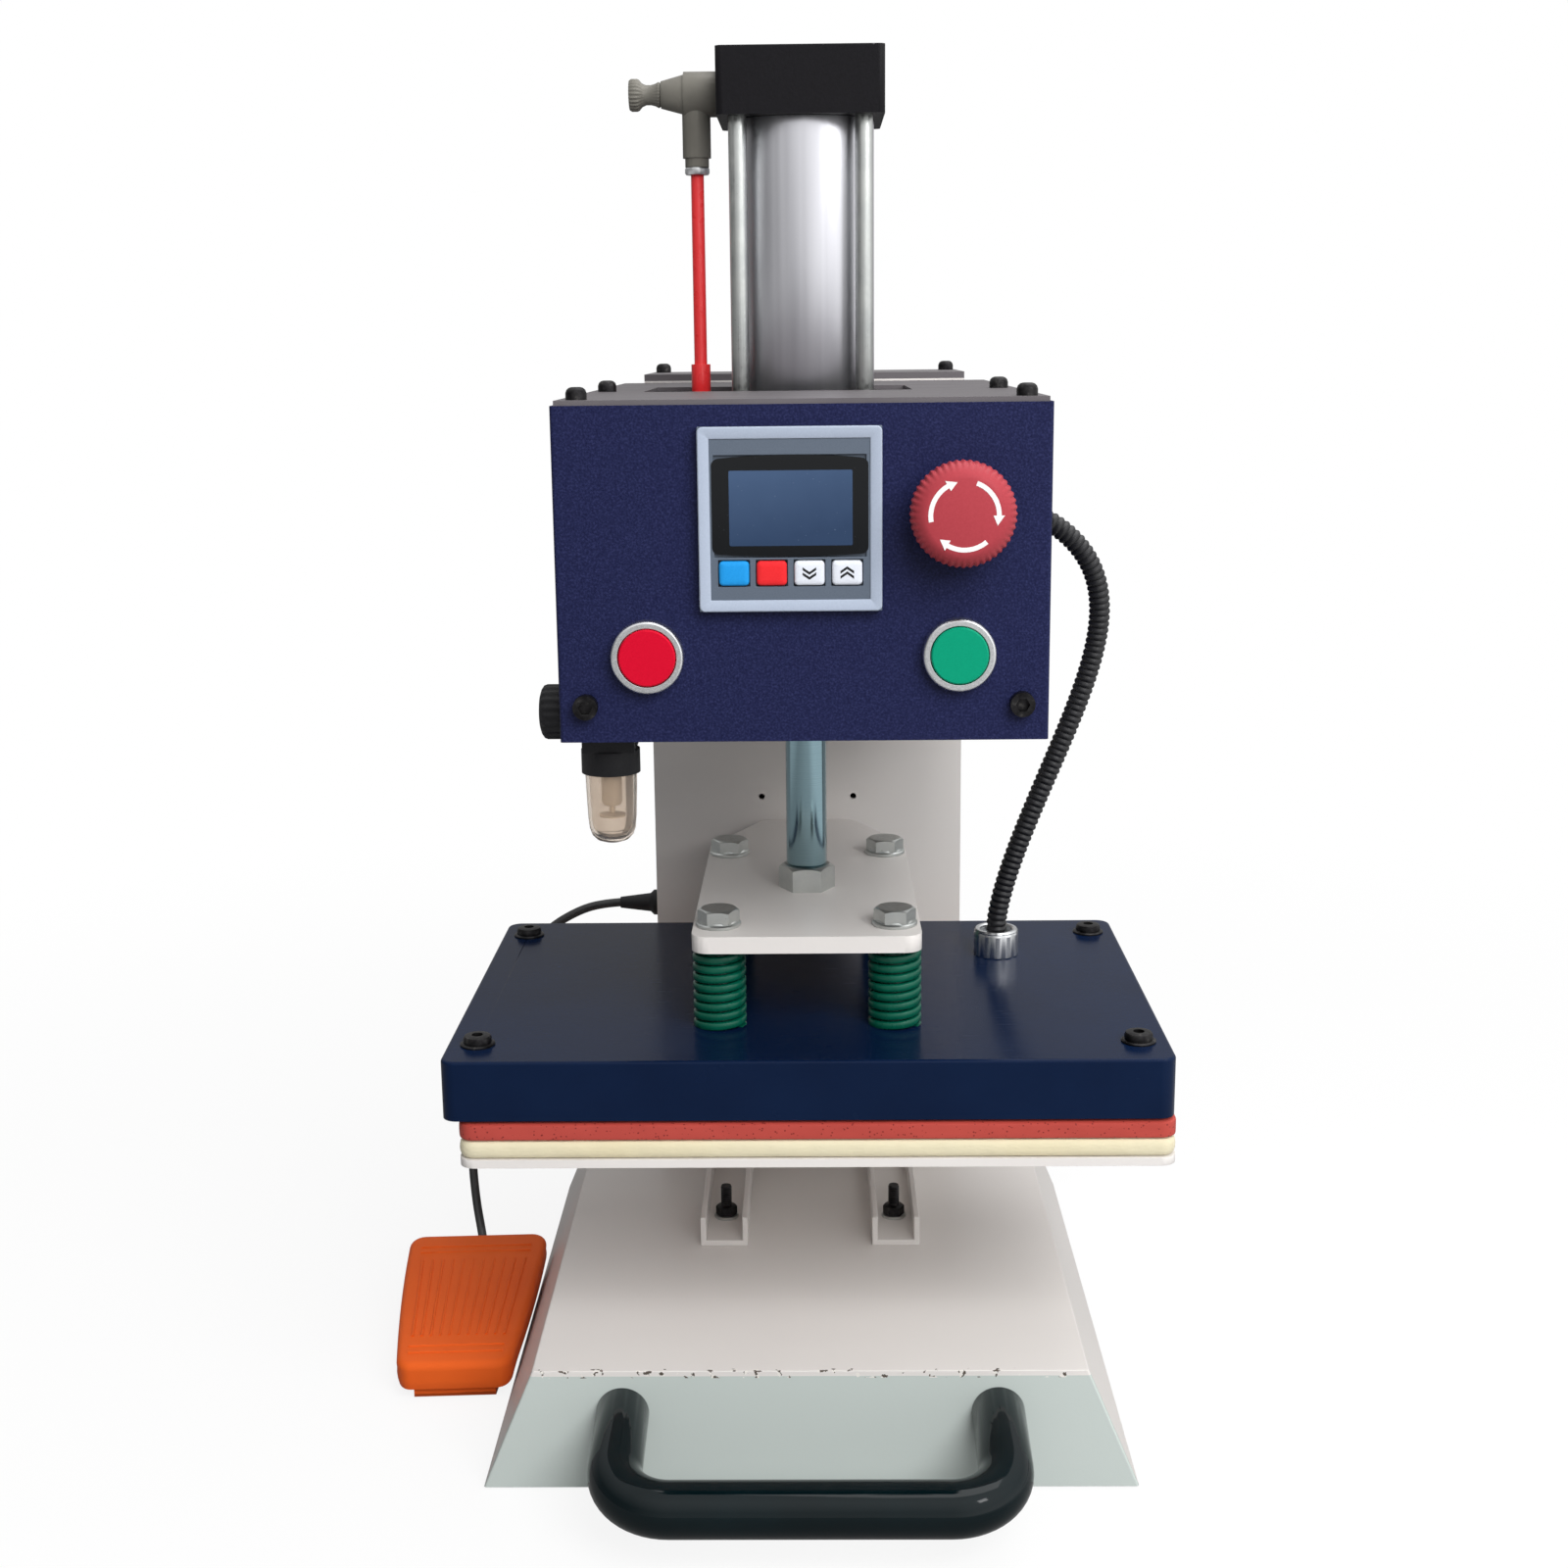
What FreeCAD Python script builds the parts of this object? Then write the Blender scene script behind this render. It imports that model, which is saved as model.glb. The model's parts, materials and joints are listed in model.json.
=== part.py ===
import FreeCAD, Part
import Sketcher
import math
import os
from types import SimpleNamespace

# Pneumatic heat press: a C frame with an air cylinder, a sprung heating platen and a foot pedal.
# Millimetres, +Z up, +Y to the back. The origin is where the press axis meets the floor.

Vector = FreeCAD.Vector
Rotation = FreeCAD.Rotation
Placement = FreeCAD.Placement

doc = FreeCAD.newDocument("heat_press")
sheet = doc.addObject("Spreadsheet::Sheet", "Sizes")

# Driving dimensions: name, value, what it measures
SIZES = (
    ("base_top_width", 260, "base, width of the top"),
    ("base_bottom_width", 310, "base, width at the floor"),
    ("base_height", 60, "base, floor to top"),
    ("base_front", 110, "base, press axis to the apron"),
    ("base_back", 90, "base, column front to the rear edge"),
    ("base_wall", 2.5, "base, sheet thickness"),
    ("floor_thick", 3, "base, thickness of the floor plate"),
    ("handle_span", 176, "handle, between leg centres"),
    ("handle_reach", 66, "handle, apron to bar centre"),
    ("handle_tube", 25, "handle, tube diameter"),
    ("handle_bend", 26, "handle, bend radius at the tube centre"),
    ("handle_height", 40, "handle, floor to leg centre at the apron"),
    ("handle_droop", 8.6, "handle, downward slope in degrees"),
    ("column_width", 174, "column, width"),
    ("column_depth", 80, "column, front to back"),
    ("column_front", 150, "column, press axis to its front face"),
    ("column_top", 512, "column, floor to its top"),
    ("column_wall", 3, "column, sheet thickness"),
    ("column_screw_gap", 52, "column, between the two small front holes"),
    ("column_screw_height", 276, "column, height of the small front holes"),
    ("column_hole", 3.5, "column, diameter of the small front holes"),
    ("column_lid_screw_side", 6, "column top screws, in from the sides"),
    ("column_lid_screw_back", 15, "column top screws, in from the back"),
    ("inlet_width", 24, "mains inlet, width of its body"),
    ("inlet_height", 30, "mains inlet, height of its body"),
    ("inlet_depth", 24, "mains inlet, depth of its body"),
    ("inlet_flange", 4, "mains inlet, flange beyond its body"),
    ("inlet_rise", 45, "mains inlet, base top to its body"),
    ("inlet_socket", 14, "mains inlet, depth cut for its socket"),
    ("channel_gap", 91, "stand, between the foot channels' centres"),
    ("channel_width", 25, "stand, foot channel width"),
    ("channel_height", 16, "stand, foot channel height"),
    ("channel_wall", 3, "stand, foot channel sheet"),
    ("channel_front", 24, "stand, press axis to the channels' front ends"),
    ("post_depth", 14, "stand, front to back of the upright posts"),
    ("stand_reach", 70, "stand, press axis to the front of its table"),
    ("stand_table", 5, "stand, thickness of the table"),
    ("stud_setback", 31, "stand studs, behind the channels' front ends"),
    ("stud_size", 6, "stand studs, thread diameter"),
    ("stud_length", 18, "stand studs, length"),
    ("stud_washer", 13, "stand studs, washer diameter"),
    ("stud_washer_thick", 1.5, "stand studs, washer thickness"),
    ("stud_nut", 10, "stand studs, nut across flats"),
    ("stud_nut_height", 5, "stand studs, nut height"),
    ("bed_trim", 6, "lower platen, how much narrower than the cover"),
    ("bed_shift", 4, "lower platen, offset to the right"),
    ("bed_thick", 4, "lower platen, plate thickness"),
    ("foam_thick", 9, "cream foam pad, thickness"),
    ("silicone_thick", 8, "red silicone pad, thickness"),
    ("pad_top", 186.4, "floor to the top of the pads"),
    ("contact_gap", 0.3, "between the heating plate and the pads when closed"),
    ("platen_centre", 8, "platen, its centre in front of the press axis"),
    ("cover_width", 330, "platen cover, width"),
    ("cover_depth", 222, "platen cover, front to back"),
    ("cover_height", 28, "platen cover, height"),
    ("cover_wall", 1.5, "platen cover, sheet thickness"),
    ("cover_corner", 7, "platen cover, corner radius"),
    ("plate_drop", 1.3, "heating plate, how far it stands below its cover"),
    ("plate_thick", 13.3, "heating plate, thickness"),
    ("plate_margin", 5, "heating plate, gap to the cover's outside"),
    ("cover_screw_side", 14, "platen cover screws, in from the cover's sides"),
    ("cover_screw_end", 24, "platen cover screws, in from the cover's front and back"),
    ("cover_screw", 6, "platen cover screws, thread diameter"),
    ("cover_screw_head", 13, "platen cover screws, head diameter"),
    ("cover_screw_rise", 3.6, "platen cover screws, head height"),
    ("cover_screw_washer", 16, "platen cover screws, washer diameter"),
    ("cover_washer_thick", 1.2, "platen cover screws, washer thickness"),
    ("cover_screw_length", 12, "platen cover screws, length below the cover"),
    ("float_width", 106, "floating plate, front width"),
    ("float_waist", 104, "floating plate, width at its rear shoulders"),
    ("float_tail", 50, "floating plate, width of the tail"),
    ("float_front", 87, "floating plate, press axis to its front edge"),
    ("float_shoulder", 85, "floating plate, press axis to its rear shoulders"),
    ("float_gap", 6, "floating plate, tail to the column"),
    ("float_thick", 8, "floating plate, thickness"),
    ("float_corner", 8, "floating plate, corner radius"),
    ("bolt_x", 41, "spring bolts, half spacing across"),
    ("bolt_y", 67, "spring bolts, half spacing along"),
    ("bolt_size", 10, "spring bolts, shank diameter"),
    ("bolt_depth", 9, "spring bolts, thread in the heating plate"),
    ("spring_outer", 25, "platen springs, outer diameter"),
    ("spring_wire", 3.4, "platen springs, wire diameter"),
    ("spring_length", 40, "platen springs, fitted length"),
    ("head_width", 198, "control head, width"),
    ("head_front", 168, "control head, press axis to the front panel"),
    ("head_bottom", 371, "control head, floor to its lower edge"),
    ("head_height", 134.5, "control head, height of the panel"),
    ("head_wall", 1.5, "control head, sheet thickness"),
    ("arm_wall", 4, "arm, cheek thickness"),
    ("arm_tab", 20, "arm, width of the turned-in tabs"),
    ("arm_tab_height", 30, "arm, height of the turned-in tabs"),
    ("deck_hole", 32, "arm, hole in the deck for the rod"),
    ("deck_level", 460, "arm, floor to the underside of the cylinder deck"),
    ("deck_thick", 12, "arm, thickness of the cylinder deck"),
    ("lid_thick", 2, "head lid, sheet thickness"),
    ("lid_gap", 6, "head lid, gap between its slot and the cylinder"),
    ("lid_screw", 8.5, "lid screws, head diameter"),
    ("lid_screw_height", 5, "lid screws, head height"),
    ("lid_screw_side", 8, "lid screws, in from the lid's sides"),
    ("lid_screw_end", 12, "front lid screws, behind the panel"),
    ("lid_screw_pitch", 126, "lid screws, front pair to the middle pair"),
    ("panel_row_inset", 36.5, "panel, side to the button columns"),
    ("button_level", 406.3, "panel, floor to the start and stop buttons"),
    ("estop_level", 463.5, "panel, floor to the emergency stop"),
    ("panel_hole", 22.3, "panel, diameter of the button holes"),
    ("panel_screw_inset", 11, "panel, side to the lower screws"),
    ("panel_screw", 5, "panel, thread diameter of the lower screws"),
    ("panel_screw_level", 386, "panel, floor to the lower screws"),
    ("meter_size", 72.5, "controller, bezel width and height"),
    ("meter_x", -4.7, "controller, centre across"),
    ("meter_level", 460.8, "controller, floor to its centre"),
    ("meter_front", 5, "controller, how far the bezel stands out"),
    ("meter_case", 67, "controller, case width and height"),
    ("meter_depth", 58, "controller, case depth"),
    ("window_width", 60, "controller window, width"),
    ("window_height", 40, "controller window, height"),
    ("window_level", 466, "controller window, floor to its centre"),
    ("pane_thick", 1.5, "controller window, thickness"),
    ("key_width", 12, "controller keys, width"),
    ("key_height", 10, "controller keys, height"),
    ("key_pitch", 14.93, "controller keys, spacing"),
    ("key_level", 439.8, "controller keys, floor to their centres"),
    ("key_stand", 1.2, "controller keys, how far they stand out"),
    ("key_well", 3, "controller keys, depth of their wells"),
    ("key_room", 0.8, "controller keys, room below each key"),
    ("key_corner", 1.6, "controller keys, corner radius"),
    ("button_bezel", 29.5, "push buttons, bezel diameter"),
    ("button_cap", 23, "push buttons, cap diameter"),
    ("button_stem", 12, "push buttons, stem diameter"),
    ("button_depth", 20, "push buttons, barrel behind the panel"),
    ("button_rise", 6, "push buttons, bezel height"),
    ("button_seat", 1.2, "push buttons, panel to the seat in the bezel"),
    ("button_top", 6.8, "push buttons, panel to the cap's top"),
    ("button_travel", 3, "push buttons, travel"),
    ("estop_size", 41, "emergency stop, head diameter"),
    ("estop_height", 16, "emergency stop, head height"),
    ("estop_shaft", 14, "emergency stop, shaft diameter"),
    ("estop_collar", 5, "emergency stop, collar height"),
    ("estop_travel", 4, "emergency stop, travel"),
    ("contact_width", 24, "contact blocks, width and height"),
    ("contact_depth", 26, "contact blocks, depth"),
    ("head_block", 75, "cylinder end caps, width and depth"),
    ("cap_edge", 3, "cylinder end caps, rounding of the upright edges"),
    ("rear_cap_height", 29, "cylinder rear cap, height"),
    ("front_cap_height", 28, "cylinder front cap, height"),
    ("barrel_length", 127.5, "cylinder barrel, length between the caps"),
    ("barrel_bore", 63, "cylinder bore"),
    ("barrel_wall", 2, "cylinder barrel, wall"),
    ("tie_rod_x", 28.25, "tie rods, half spacing"),
    ("tie_rod_size", 8, "tie rods, diameter"),
    ("piston_height", 24, "piston, height"),
    ("stroke", 60, "press stroke, closed to open"),
    ("rod_size", 20, "piston rod, diameter"),
    ("rod_thread", 16, "piston rod, threaded end diameter"),
    ("lock_nut_height", 12, "rod lock nut, height"),
    ("lock_nut_flats", 24, "rod lock nut, across flats"),
    ("tube_x", 48, "air tube, press axis to its centre"),
    ("tube_size", 6, "air tube, outer diameter"),
    ("tube_collar", 16, "air tube, collar height"),
    ("valve_level", 640, "speed valve, floor to its axis"),
    ("valve_stub", 13, "speed valve, diameter of its stub and leg"),
    ("stub_length", 8, "speed valve, stub in the rear cap"),
    ("valve_size", 20, "speed valve, body diameter"),
    ("valve_beyond", 5.5, "speed valve, body beyond the tube's centre"),
    ("valve_drop", 32, "speed valve, axis to the foot of its sleeve"),
    ("valve_sleeve", 11, "speed valve, sleeve diameter"),
    ("bonnet_length", 10.5, "speed valve, bonnet length"),
    ("speed_knob", 14, "speed valve, knob diameter"),
    ("speed_knob_length", 14.5, "speed valve, knob length"),
    ("solenoid_gap", 5.5, "solenoid valve, gap to the left cheek"),
    ("solenoid_right", 9, "solenoid valve, right side beyond the tube's centre"),
    ("solenoid_front", 22, "solenoid valve, in front of the press axis"),
    ("solenoid_back", 40, "solenoid valve, behind the press axis"),
    ("solenoid_height", 31, "solenoid valve, height"),
    ("coil_length", 34, "solenoid valve, coil length"),
    ("coil_inset", 4, "solenoid valve, coil in from the block's sides"),
    ("tube_seat", 13, "solenoid valve, depth of the tube's seat"),
    ("filter_y", 130, "air filter, in front of the press axis"),
    ("filter_body", 22, "air filter, body width"),
    ("filter_height", 30, "air filter, body height"),
    ("filter_collar", 10, "air filter, collar height"),
    ("supply_bore", 8.6, "air filter, bore of the supply port"),
    ("supply_depth", 8, "air filter, depth of the supply port"),
    ("supply_rise", 5, "air filter, supply port above the collar"),
    ("bowl_size", 22, "air filter, bowl diameter"),
    ("bowl_wall", 1.5, "air filter, bowl wall"),
    ("bowl_length", 30, "air filter, bowl length"),
    ("collar_drop", 20, "air filter, collar below the head's lower edge"),
    ("knob_size", 23, "regulator knob, diameter"),
    ("knob_rise", 6, "regulator knob, axis above the head's lower edge"),
    ("knob_neck", 7, "regulator knob, neck diameter"),
    ("knob_length", 10.5, "regulator knob, length"),
    ("knob_gap", 2, "regulator knob, gap to the head's side"),
    ("knob_pin", 4, "regulator knob, spindle diameter"),
    ("hose_size", 10.5, "conduit hose, outer diameter"),
    ("hose_bore", 7, "conduit hose, bore"),
    ("hose_pitch", 3.2, "conduit hose, rib spacing"),
    ("hose_exit_y", 20, "conduit, upper gland behind the press axis"),
    ("hose_exit_level", 449.4, "conduit, floor to the upper gland"),
    ("hose_tilt", 20, "conduit, downward tilt of the upper gland's mouth in degrees"),
    ("hose_cuff", 4, "conduit, plain length at each end"),
    ("hose_lead", 24, "conduit, how far it leads on out of the upper gland"),
    ("hose_bow", 63.5, "conduit, how far it bows out at the top"),
    ("hose_swing", 48.8, "conduit, how far it bows out lower down"),
    ("hose_lean", 5.9, "conduit, how far it leans back lower down"),
    ("conduit_neck", 16, "conduit glands, thread diameter"),
    ("conduit_hole", 16.5, "conduit glands, hole that they pass through"),
    ("conduit_shell", 23, "conduit lower gland, outer diameter"),
    ("conduit_grip", 14, "conduit lower gland, height"),
    ("conduit_well", 17, "conduit lower gland, diameter of its open mouth"),
    ("conduit_well_depth", 5, "conduit lower gland, depth of its open mouth"),
    ("conduit_tail", 5, "conduit glands, flange and thread length"),
    ("conduit_flange", 20, "conduit upper gland, flange diameter"),
    ("conduit_mouth", 6.5, "conduit upper gland, length of its tilted mouth"),
    ("hose_foot_x", 98, "conduit, lower gland across"),
    ("hose_foot_y", 41, "conduit, lower gland behind the press axis"),
    ("pedal_toe", 58, "foot pedal, width at its front"),
    ("pedal_heel", 78, "foot pedal, width at its back"),
    ("pedal_length", 132, "foot pedal, front to back"),
    ("pedal_height", 31, "foot pedal, height at its back"),
    ("pedal_toe_height", 20, "foot pedal, height at its front"),
    ("pedal_skin", 2.5, "foot pedal, tread wall"),
    ("pedal_gap", 1.3, "foot pedal, gap between tread and plinth"),
    ("pedal_low", 17, "foot pedal, floor to the tread's lower edge at its back"),
    ("pedal_toe_low", 9, "foot pedal, floor to the tread's lower edge at its front"),
    ("plinth_inset", 8, "foot pedal, plinth in from the tread's sides"),
    ("pedal_corner", 5, "foot pedal, rounding of the tread's corners"),
    ("plinth_heel", 27, "foot pedal, plinth height at its back"),
    ("plinth_toe", 7, "foot pedal, plinth height at its front"),
    ("pedal_pin", 5, "foot pedal, hinge pin diameter"),
    ("pedal_pin_level", 20.5, "foot pedal, floor to the hinge pin"),
    ("pedal_pin_inset", 12, "foot pedal, back to the hinge pin"),
    ("pedal_boss", 9, "foot pedal, diameter of the cord boss"),
    ("pedal_boss_level", 13, "foot pedal, floor to the cord boss"),
    ("pedal_boss_length", 12, "foot pedal, length of the cord boss"),
    ("pedal_notch", 14, "foot pedal, width of the notch over the boss"),
    ("pedal_notch_top", 22, "foot pedal, floor to the top of the notch"),
    ("pedal_x", 186.5, "foot pedal, centre to the left of the press axis"),
    ("pedal_yaw", 3, "foot pedal, turn on the floor in degrees"),
    ("pedal_y", 38, "foot pedal, centre behind the press axis"),
    ("cord_size", 5, "pedal cord, diameter"),
    ("cord_exit_y", 40, "pedal cord, gland behind the column front"),
    ("cord_exit_level", 203, "pedal cord, floor to the gland"),
    ("gland_thread", 10, "pedal cord gland, thread diameter"),
    ("gland_length", 25, "pedal cord gland, column to its tip"),
    ("fit", 0.3, "clearance round pieces that pass through"),
)


class Size:
    # A number that remembers the sheet formula it comes from

    def __init__(self, value, text):
        self.value = value
        self.text = text

    def __add__(self, other):
        return Size(self.value + number(other), "(%s + %s)" % (self.text, formula(other)))

    def __radd__(self, other):
        return Size(number(other) + self.value, "(%s + %s)" % (formula(other), self.text))

    def __sub__(self, other):
        return Size(self.value - number(other), "(%s - %s)" % (self.text, formula(other)))

    def __rsub__(self, other):
        return Size(number(other) - self.value, "(%s - %s)" % (formula(other), self.text))

    def __mul__(self, other):
        return Size(self.value * number(other), "(%s * %s)" % (self.text, formula(other)))

    __rmul__ = __mul__

    def __truediv__(self, other):
        return Size(self.value / number(other), "(%s / %s)" % (self.text, formula(other)))

    def __neg__(self):
        return Size(-self.value, "(0 - %s)" % self.text)


def number(value):
    return value.value if isinstance(value, Size) else float(value)


def formula(value):
    return value.text if isinstance(value, Size) else repr(float(value))


for row, (name, value, note) in enumerate(SIZES, start=1):
    sheet.set("A%d" % row, name)
    sheet.set("B%d" % row, str(value))
    sheet.setAlias("B%d" % row, name)
    sheet.set("C%d" % row, note)
doc.recompute()
s = SimpleNamespace(**{name: Size(value, "Sizes." + name) for name, value, note in SIZES})

nodes = []
TURN = {
    "+Z": Rotation(),
    "-Z": Rotation(Vector(1, 0, 0), 180),
    "+X": Rotation(Vector(0, 1, 0), 90),
    "-X": Rotation(Vector(0, 1, 0), -90),
    "+Y": Rotation(Vector(1, 0, 0), -90),
    "-Y": Rotation(Vector(1, 0, 0), 90),
}


def bind(thing, **sizes):
    for prop, value in sizes.items():
        setattr(thing, prop, number(value))
        if isinstance(value, Size):
            thing.setExpression(prop, value.text)


def put(thing, x, y, z, turn=Rotation()):
    thing.Placement = Placement(Vector(number(x), number(y), number(z)), turn)
    for axis, value in zip("xyz", (x, y, z)):
        if isinstance(value, Size):
            thing.setExpression("Placement.Base." + axis, value.text)
    return thing


def node(label, thing):
    thing.Label = label
    nodes.append(thing)
    return thing


def box(name, length, width, height, x, y, z):
    # A block centred on x and y that stands on z
    thing = doc.addObject("Part::Box", name)
    bind(thing, Length=length, Width=width, Height=height)
    return put(thing, x - length / 2, y - width / 2, z)


def slab(name, x0, x1, y0, y1, z0, z1):
    # A block between two corners
    thing = doc.addObject("Part::Box", name)
    bind(thing, Length=x1 - x0, Width=y1 - y0, Height=z1 - z0)
    return put(thing, x0, y0, z0)


def bar(name, diameter, length, x, y, z, along="+Z"):
    # A round bar that starts at a point and runs along an axis
    thing = doc.addObject("Part::Cylinder", name)
    bind(thing, Radius=diameter / 2, Height=length)
    return put(thing, x, y, z, TURN[along])


def hexagon(name, flats, height, x, y, z, along="+Z"):
    thing = doc.addObject("Part::Prism", name)
    thing.Polygon = 6
    bind(thing, Circumradius=flats / math.sqrt(3), Height=height)
    return put(thing, x, y, z, TURN[along])


def fuse(name, *things):
    thing = doc.addObject("Part::MultiFuse", name)
    thing.Shapes = list(things)
    thing.Refine = True
    return thing


def cut(name, base, *tools):
    thing = doc.addObject("Part::Cut", name)
    thing.Base = base
    thing.Tool = tools[0] if len(tools) == 1 else fuse(name + "_tools", *tools)
    return thing


def group(name, *things):
    thing = doc.addObject("Part::Compound", name)
    thing.Links = list(things)
    return thing


def rounded(name, base, radius, keep):
    # Rounds the edges of a shape that a test picks out
    doc.recompute()
    picked = [i for i, edge in enumerate(base.Shape.Edges, start=1) if keep(edge)]
    thing = doc.addObject("Part::Fillet", name)
    thing.Base = base
    thing.Edges = [(i, number(radius), number(radius)) for i in picked]
    return thing


def upright(edge):
    first, last = edge.Vertexes[0].Point, edge.Vertexes[-1].Point
    return abs(first.x - last.x) < 0.01 and abs(first.y - last.y) < 0.01 and abs(first.z - last.z) > 0.01


def plane(body, role):
    return next(item for item in body.Origin.OriginFeatures if item.Role == role)


def sketch_on(body, name, role, lift=0):
    sketch = body.newObject("Sketcher::SketchObject", name)
    sketch.AttachmentSupport = (plane(body, role), [""])
    sketch.MapMode = "FlatFace"
    if isinstance(lift, Size):
        sketch.AttachmentOffset = Placement(Vector(0, 0, lift.value), Rotation())
        sketch.setExpression("AttachmentOffset.Base.z", lift.text)
    return sketch


def pin_point(sketch, geometry, corner, x, y):
    # Ties a sketch point to the sketch's origin by the sheet's sizes
    for kind, value in (("DistanceX", x), ("DistanceY", y)):
        index = sketch.addConstraint(Sketcher.Constraint(kind, -1, 1, geometry, corner, number(value)))
        if isinstance(value, Size):
            sketch.setExpression("Constraints[%d]" % index, value.text)


def outline(sketch, points):
    spots = [Vector(number(x), number(y), 0) for x, y in points]
    count = len(spots)
    lines = [sketch.addGeometry(Part.LineSegment(spots[i], spots[(i + 1) % count])) for i in range(count)]
    for i, line in enumerate(lines):
        sketch.addConstraint(Sketcher.Constraint("Coincident", line, 2, lines[(i + 1) % count], 1))
    for line, (x, y) in zip(lines, points):
        pin_point(sketch, line, 1, x, y)


def ring(sketch, x, y, diameter):
    circle = Part.Circle(Vector(number(x), number(y), 0), Vector(0, 0, 1), number(diameter) / 2)
    geometry = sketch.addGeometry(circle)
    pin_point(sketch, geometry, 3, x, y)
    index = sketch.addConstraint(Sketcher.Constraint("Diameter", geometry, number(diameter)))
    if isinstance(diameter, Size):
        sketch.setExpression("Constraints[%d]" % index, diameter.text)


def pad(body, sketch, length):
    feature = body.newObject("PartDesign::Pad", sketch.Name + "_pad")
    feature.Profile = sketch
    bind(feature, Length=length)
    return feature


def pocket(body, sketch):
    # Cuts a sketch right through the body, both ways
    feature = body.newObject("PartDesign::Pocket", sketch.Name + "_pocket")
    feature.Profile = sketch
    feature.Type = 1
    feature.Midplane = True
    return feature


def turned(name, profile, x, y, z, along="+Z"):
    # A lathe piece: its profile gives radius and height along the axis
    body = doc.addObject("PartDesign::Body", name)
    sketch = sketch_on(body, name + "_profile", "XZ_Plane")
    outline(sketch, profile)
    spin = body.newObject("PartDesign::Revolution", name + "_spin")
    spin.Profile = sketch
    spin.ReferenceAxis = (sketch, ["V_Axis"])
    spin.Angle = 360
    return put(body, x, y, z, TURN[along])


def corners(x, y):
    return [(sx * x, sy * y) for sx in (-1, 1) for sy in (-1, 1)]


# Levels that several pieces share
base_rear = s.column_front + s.base_back
plate_low = s.pad_top + s.contact_gap
cover_low = plate_low + s.plate_drop
cover_top = cover_low + s.cover_height
plate_top = plate_low + s.plate_thick
float_low = cover_top + s.spring_length
float_top = float_low + s.float_thick
head_top = s.head_bottom + s.head_height
deck_top = s.deck_level + s.deck_thick
barrel_low = deck_top + s.front_cap_height
barrel_top = barrel_low + s.barrel_length
cap_top = barrel_top + s.rear_cap_height
bed_low = s.pad_top - s.silicone_thick - s.foam_thick - s.bed_thick
table_low = bed_low - s.stand_table
panel_y = -s.head_front
cheek_out = s.head_width / 2 - s.head_wall
knob_level = s.head_bottom + s.knob_rise
filter_x = cheek_out - s.arm_wall - s.filter_body / 2
panel_row = s.head_width / 2 - s.panel_row_inset
panel_screw_x = s.head_width / 2 - s.panel_screw_inset


def frustum(name, low_width, top_width, front, back, low, top):
    # A block whose width narrows from the floor to its top
    thing = doc.addObject("Part::Wedge", name)
    bind(thing, Xmin=-low_width / 2, Xmax=low_width / 2, X2min=-top_width / 2, X2max=top_width / 2)
    bind(thing, Ymin=0, Ymax=top - low, Zmin=-back, Zmax=front, Z2min=-back, Z2max=front)
    return put(thing, 0, 0, low, Rotation(Vector(1, 0, 0), 90))


def base():
    outside = frustum("base_outside", s.base_bottom_width, s.base_top_width, s.base_front, base_rear, 0, s.base_height)
    lean = (s.base_bottom_width - s.base_top_width) * s.base_wall / s.base_height
    inside = frustum(
        "base_inside", s.base_bottom_width - s.base_wall * 2, s.base_top_width - s.base_wall * 2 + lean,
        s.base_front - s.base_wall, base_rear - s.base_wall, 0, s.base_height - s.base_wall)
    node("base_shell", cut("base_shell", outside, inside))
    slope = (s.base_bottom_width - s.base_top_width) * s.floor_thick / s.base_height
    floor_width = s.base_bottom_width - s.base_wall * 2 - slope - s.fit * 2
    floor_front = s.base_front - s.base_wall - s.fit
    floor_back = base_rear - s.base_wall - s.fit
    node("base_floor", slab("base_floor", -floor_width / 2, floor_width / 2, -floor_front, floor_back, 0, s.floor_thick))


def handle():
    # Two legs, two quarter bends and a bar, in a plane that droops from the apron
    inset = s.handle_tube / 4
    leg = s.handle_reach - s.handle_bend + inset
    straight = s.handle_span - s.handle_bend * 2
    pieces = []
    for side in (-1, 1):
        pieces.append(bar("handle_leg", s.handle_tube, leg, side * s.handle_span / 2, 0, 0, "-Y"))
        bend = doc.addObject("Part::Torus", "handle_bend")
        bind(bend, Radius1=s.handle_bend, Radius2=s.handle_tube / 2)
        bend.Angle3 = 90
        start = 180 if side < 0 else 270
        put(bend, side * straight / 2, -leg, 0, Rotation(Vector(0, 0, 1), start))
        pieces.append(bend)
    pieces.append(bar("handle_bar", s.handle_tube, straight, -straight / 2, -s.handle_reach - inset, 0, "+X"))
    # The drooping legs start inside the apron and are trimmed flush with it
    tube = fuse("handle_tube", *pieces)
    put(tube, 0, -s.base_front + inset, s.handle_height, Rotation(Vector(1, 0, 0), s.handle_droop.value))
    tube.setExpression("Placement.Rotation.Angle", s.handle_droop.text)
    trim = slab("handle_trim", -s.handle_span, s.handle_span, -s.base_front, s.base_front, -s.handle_span, s.handle_span)
    node("carry_handle", cut("carry_handle", tube, trim))


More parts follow.
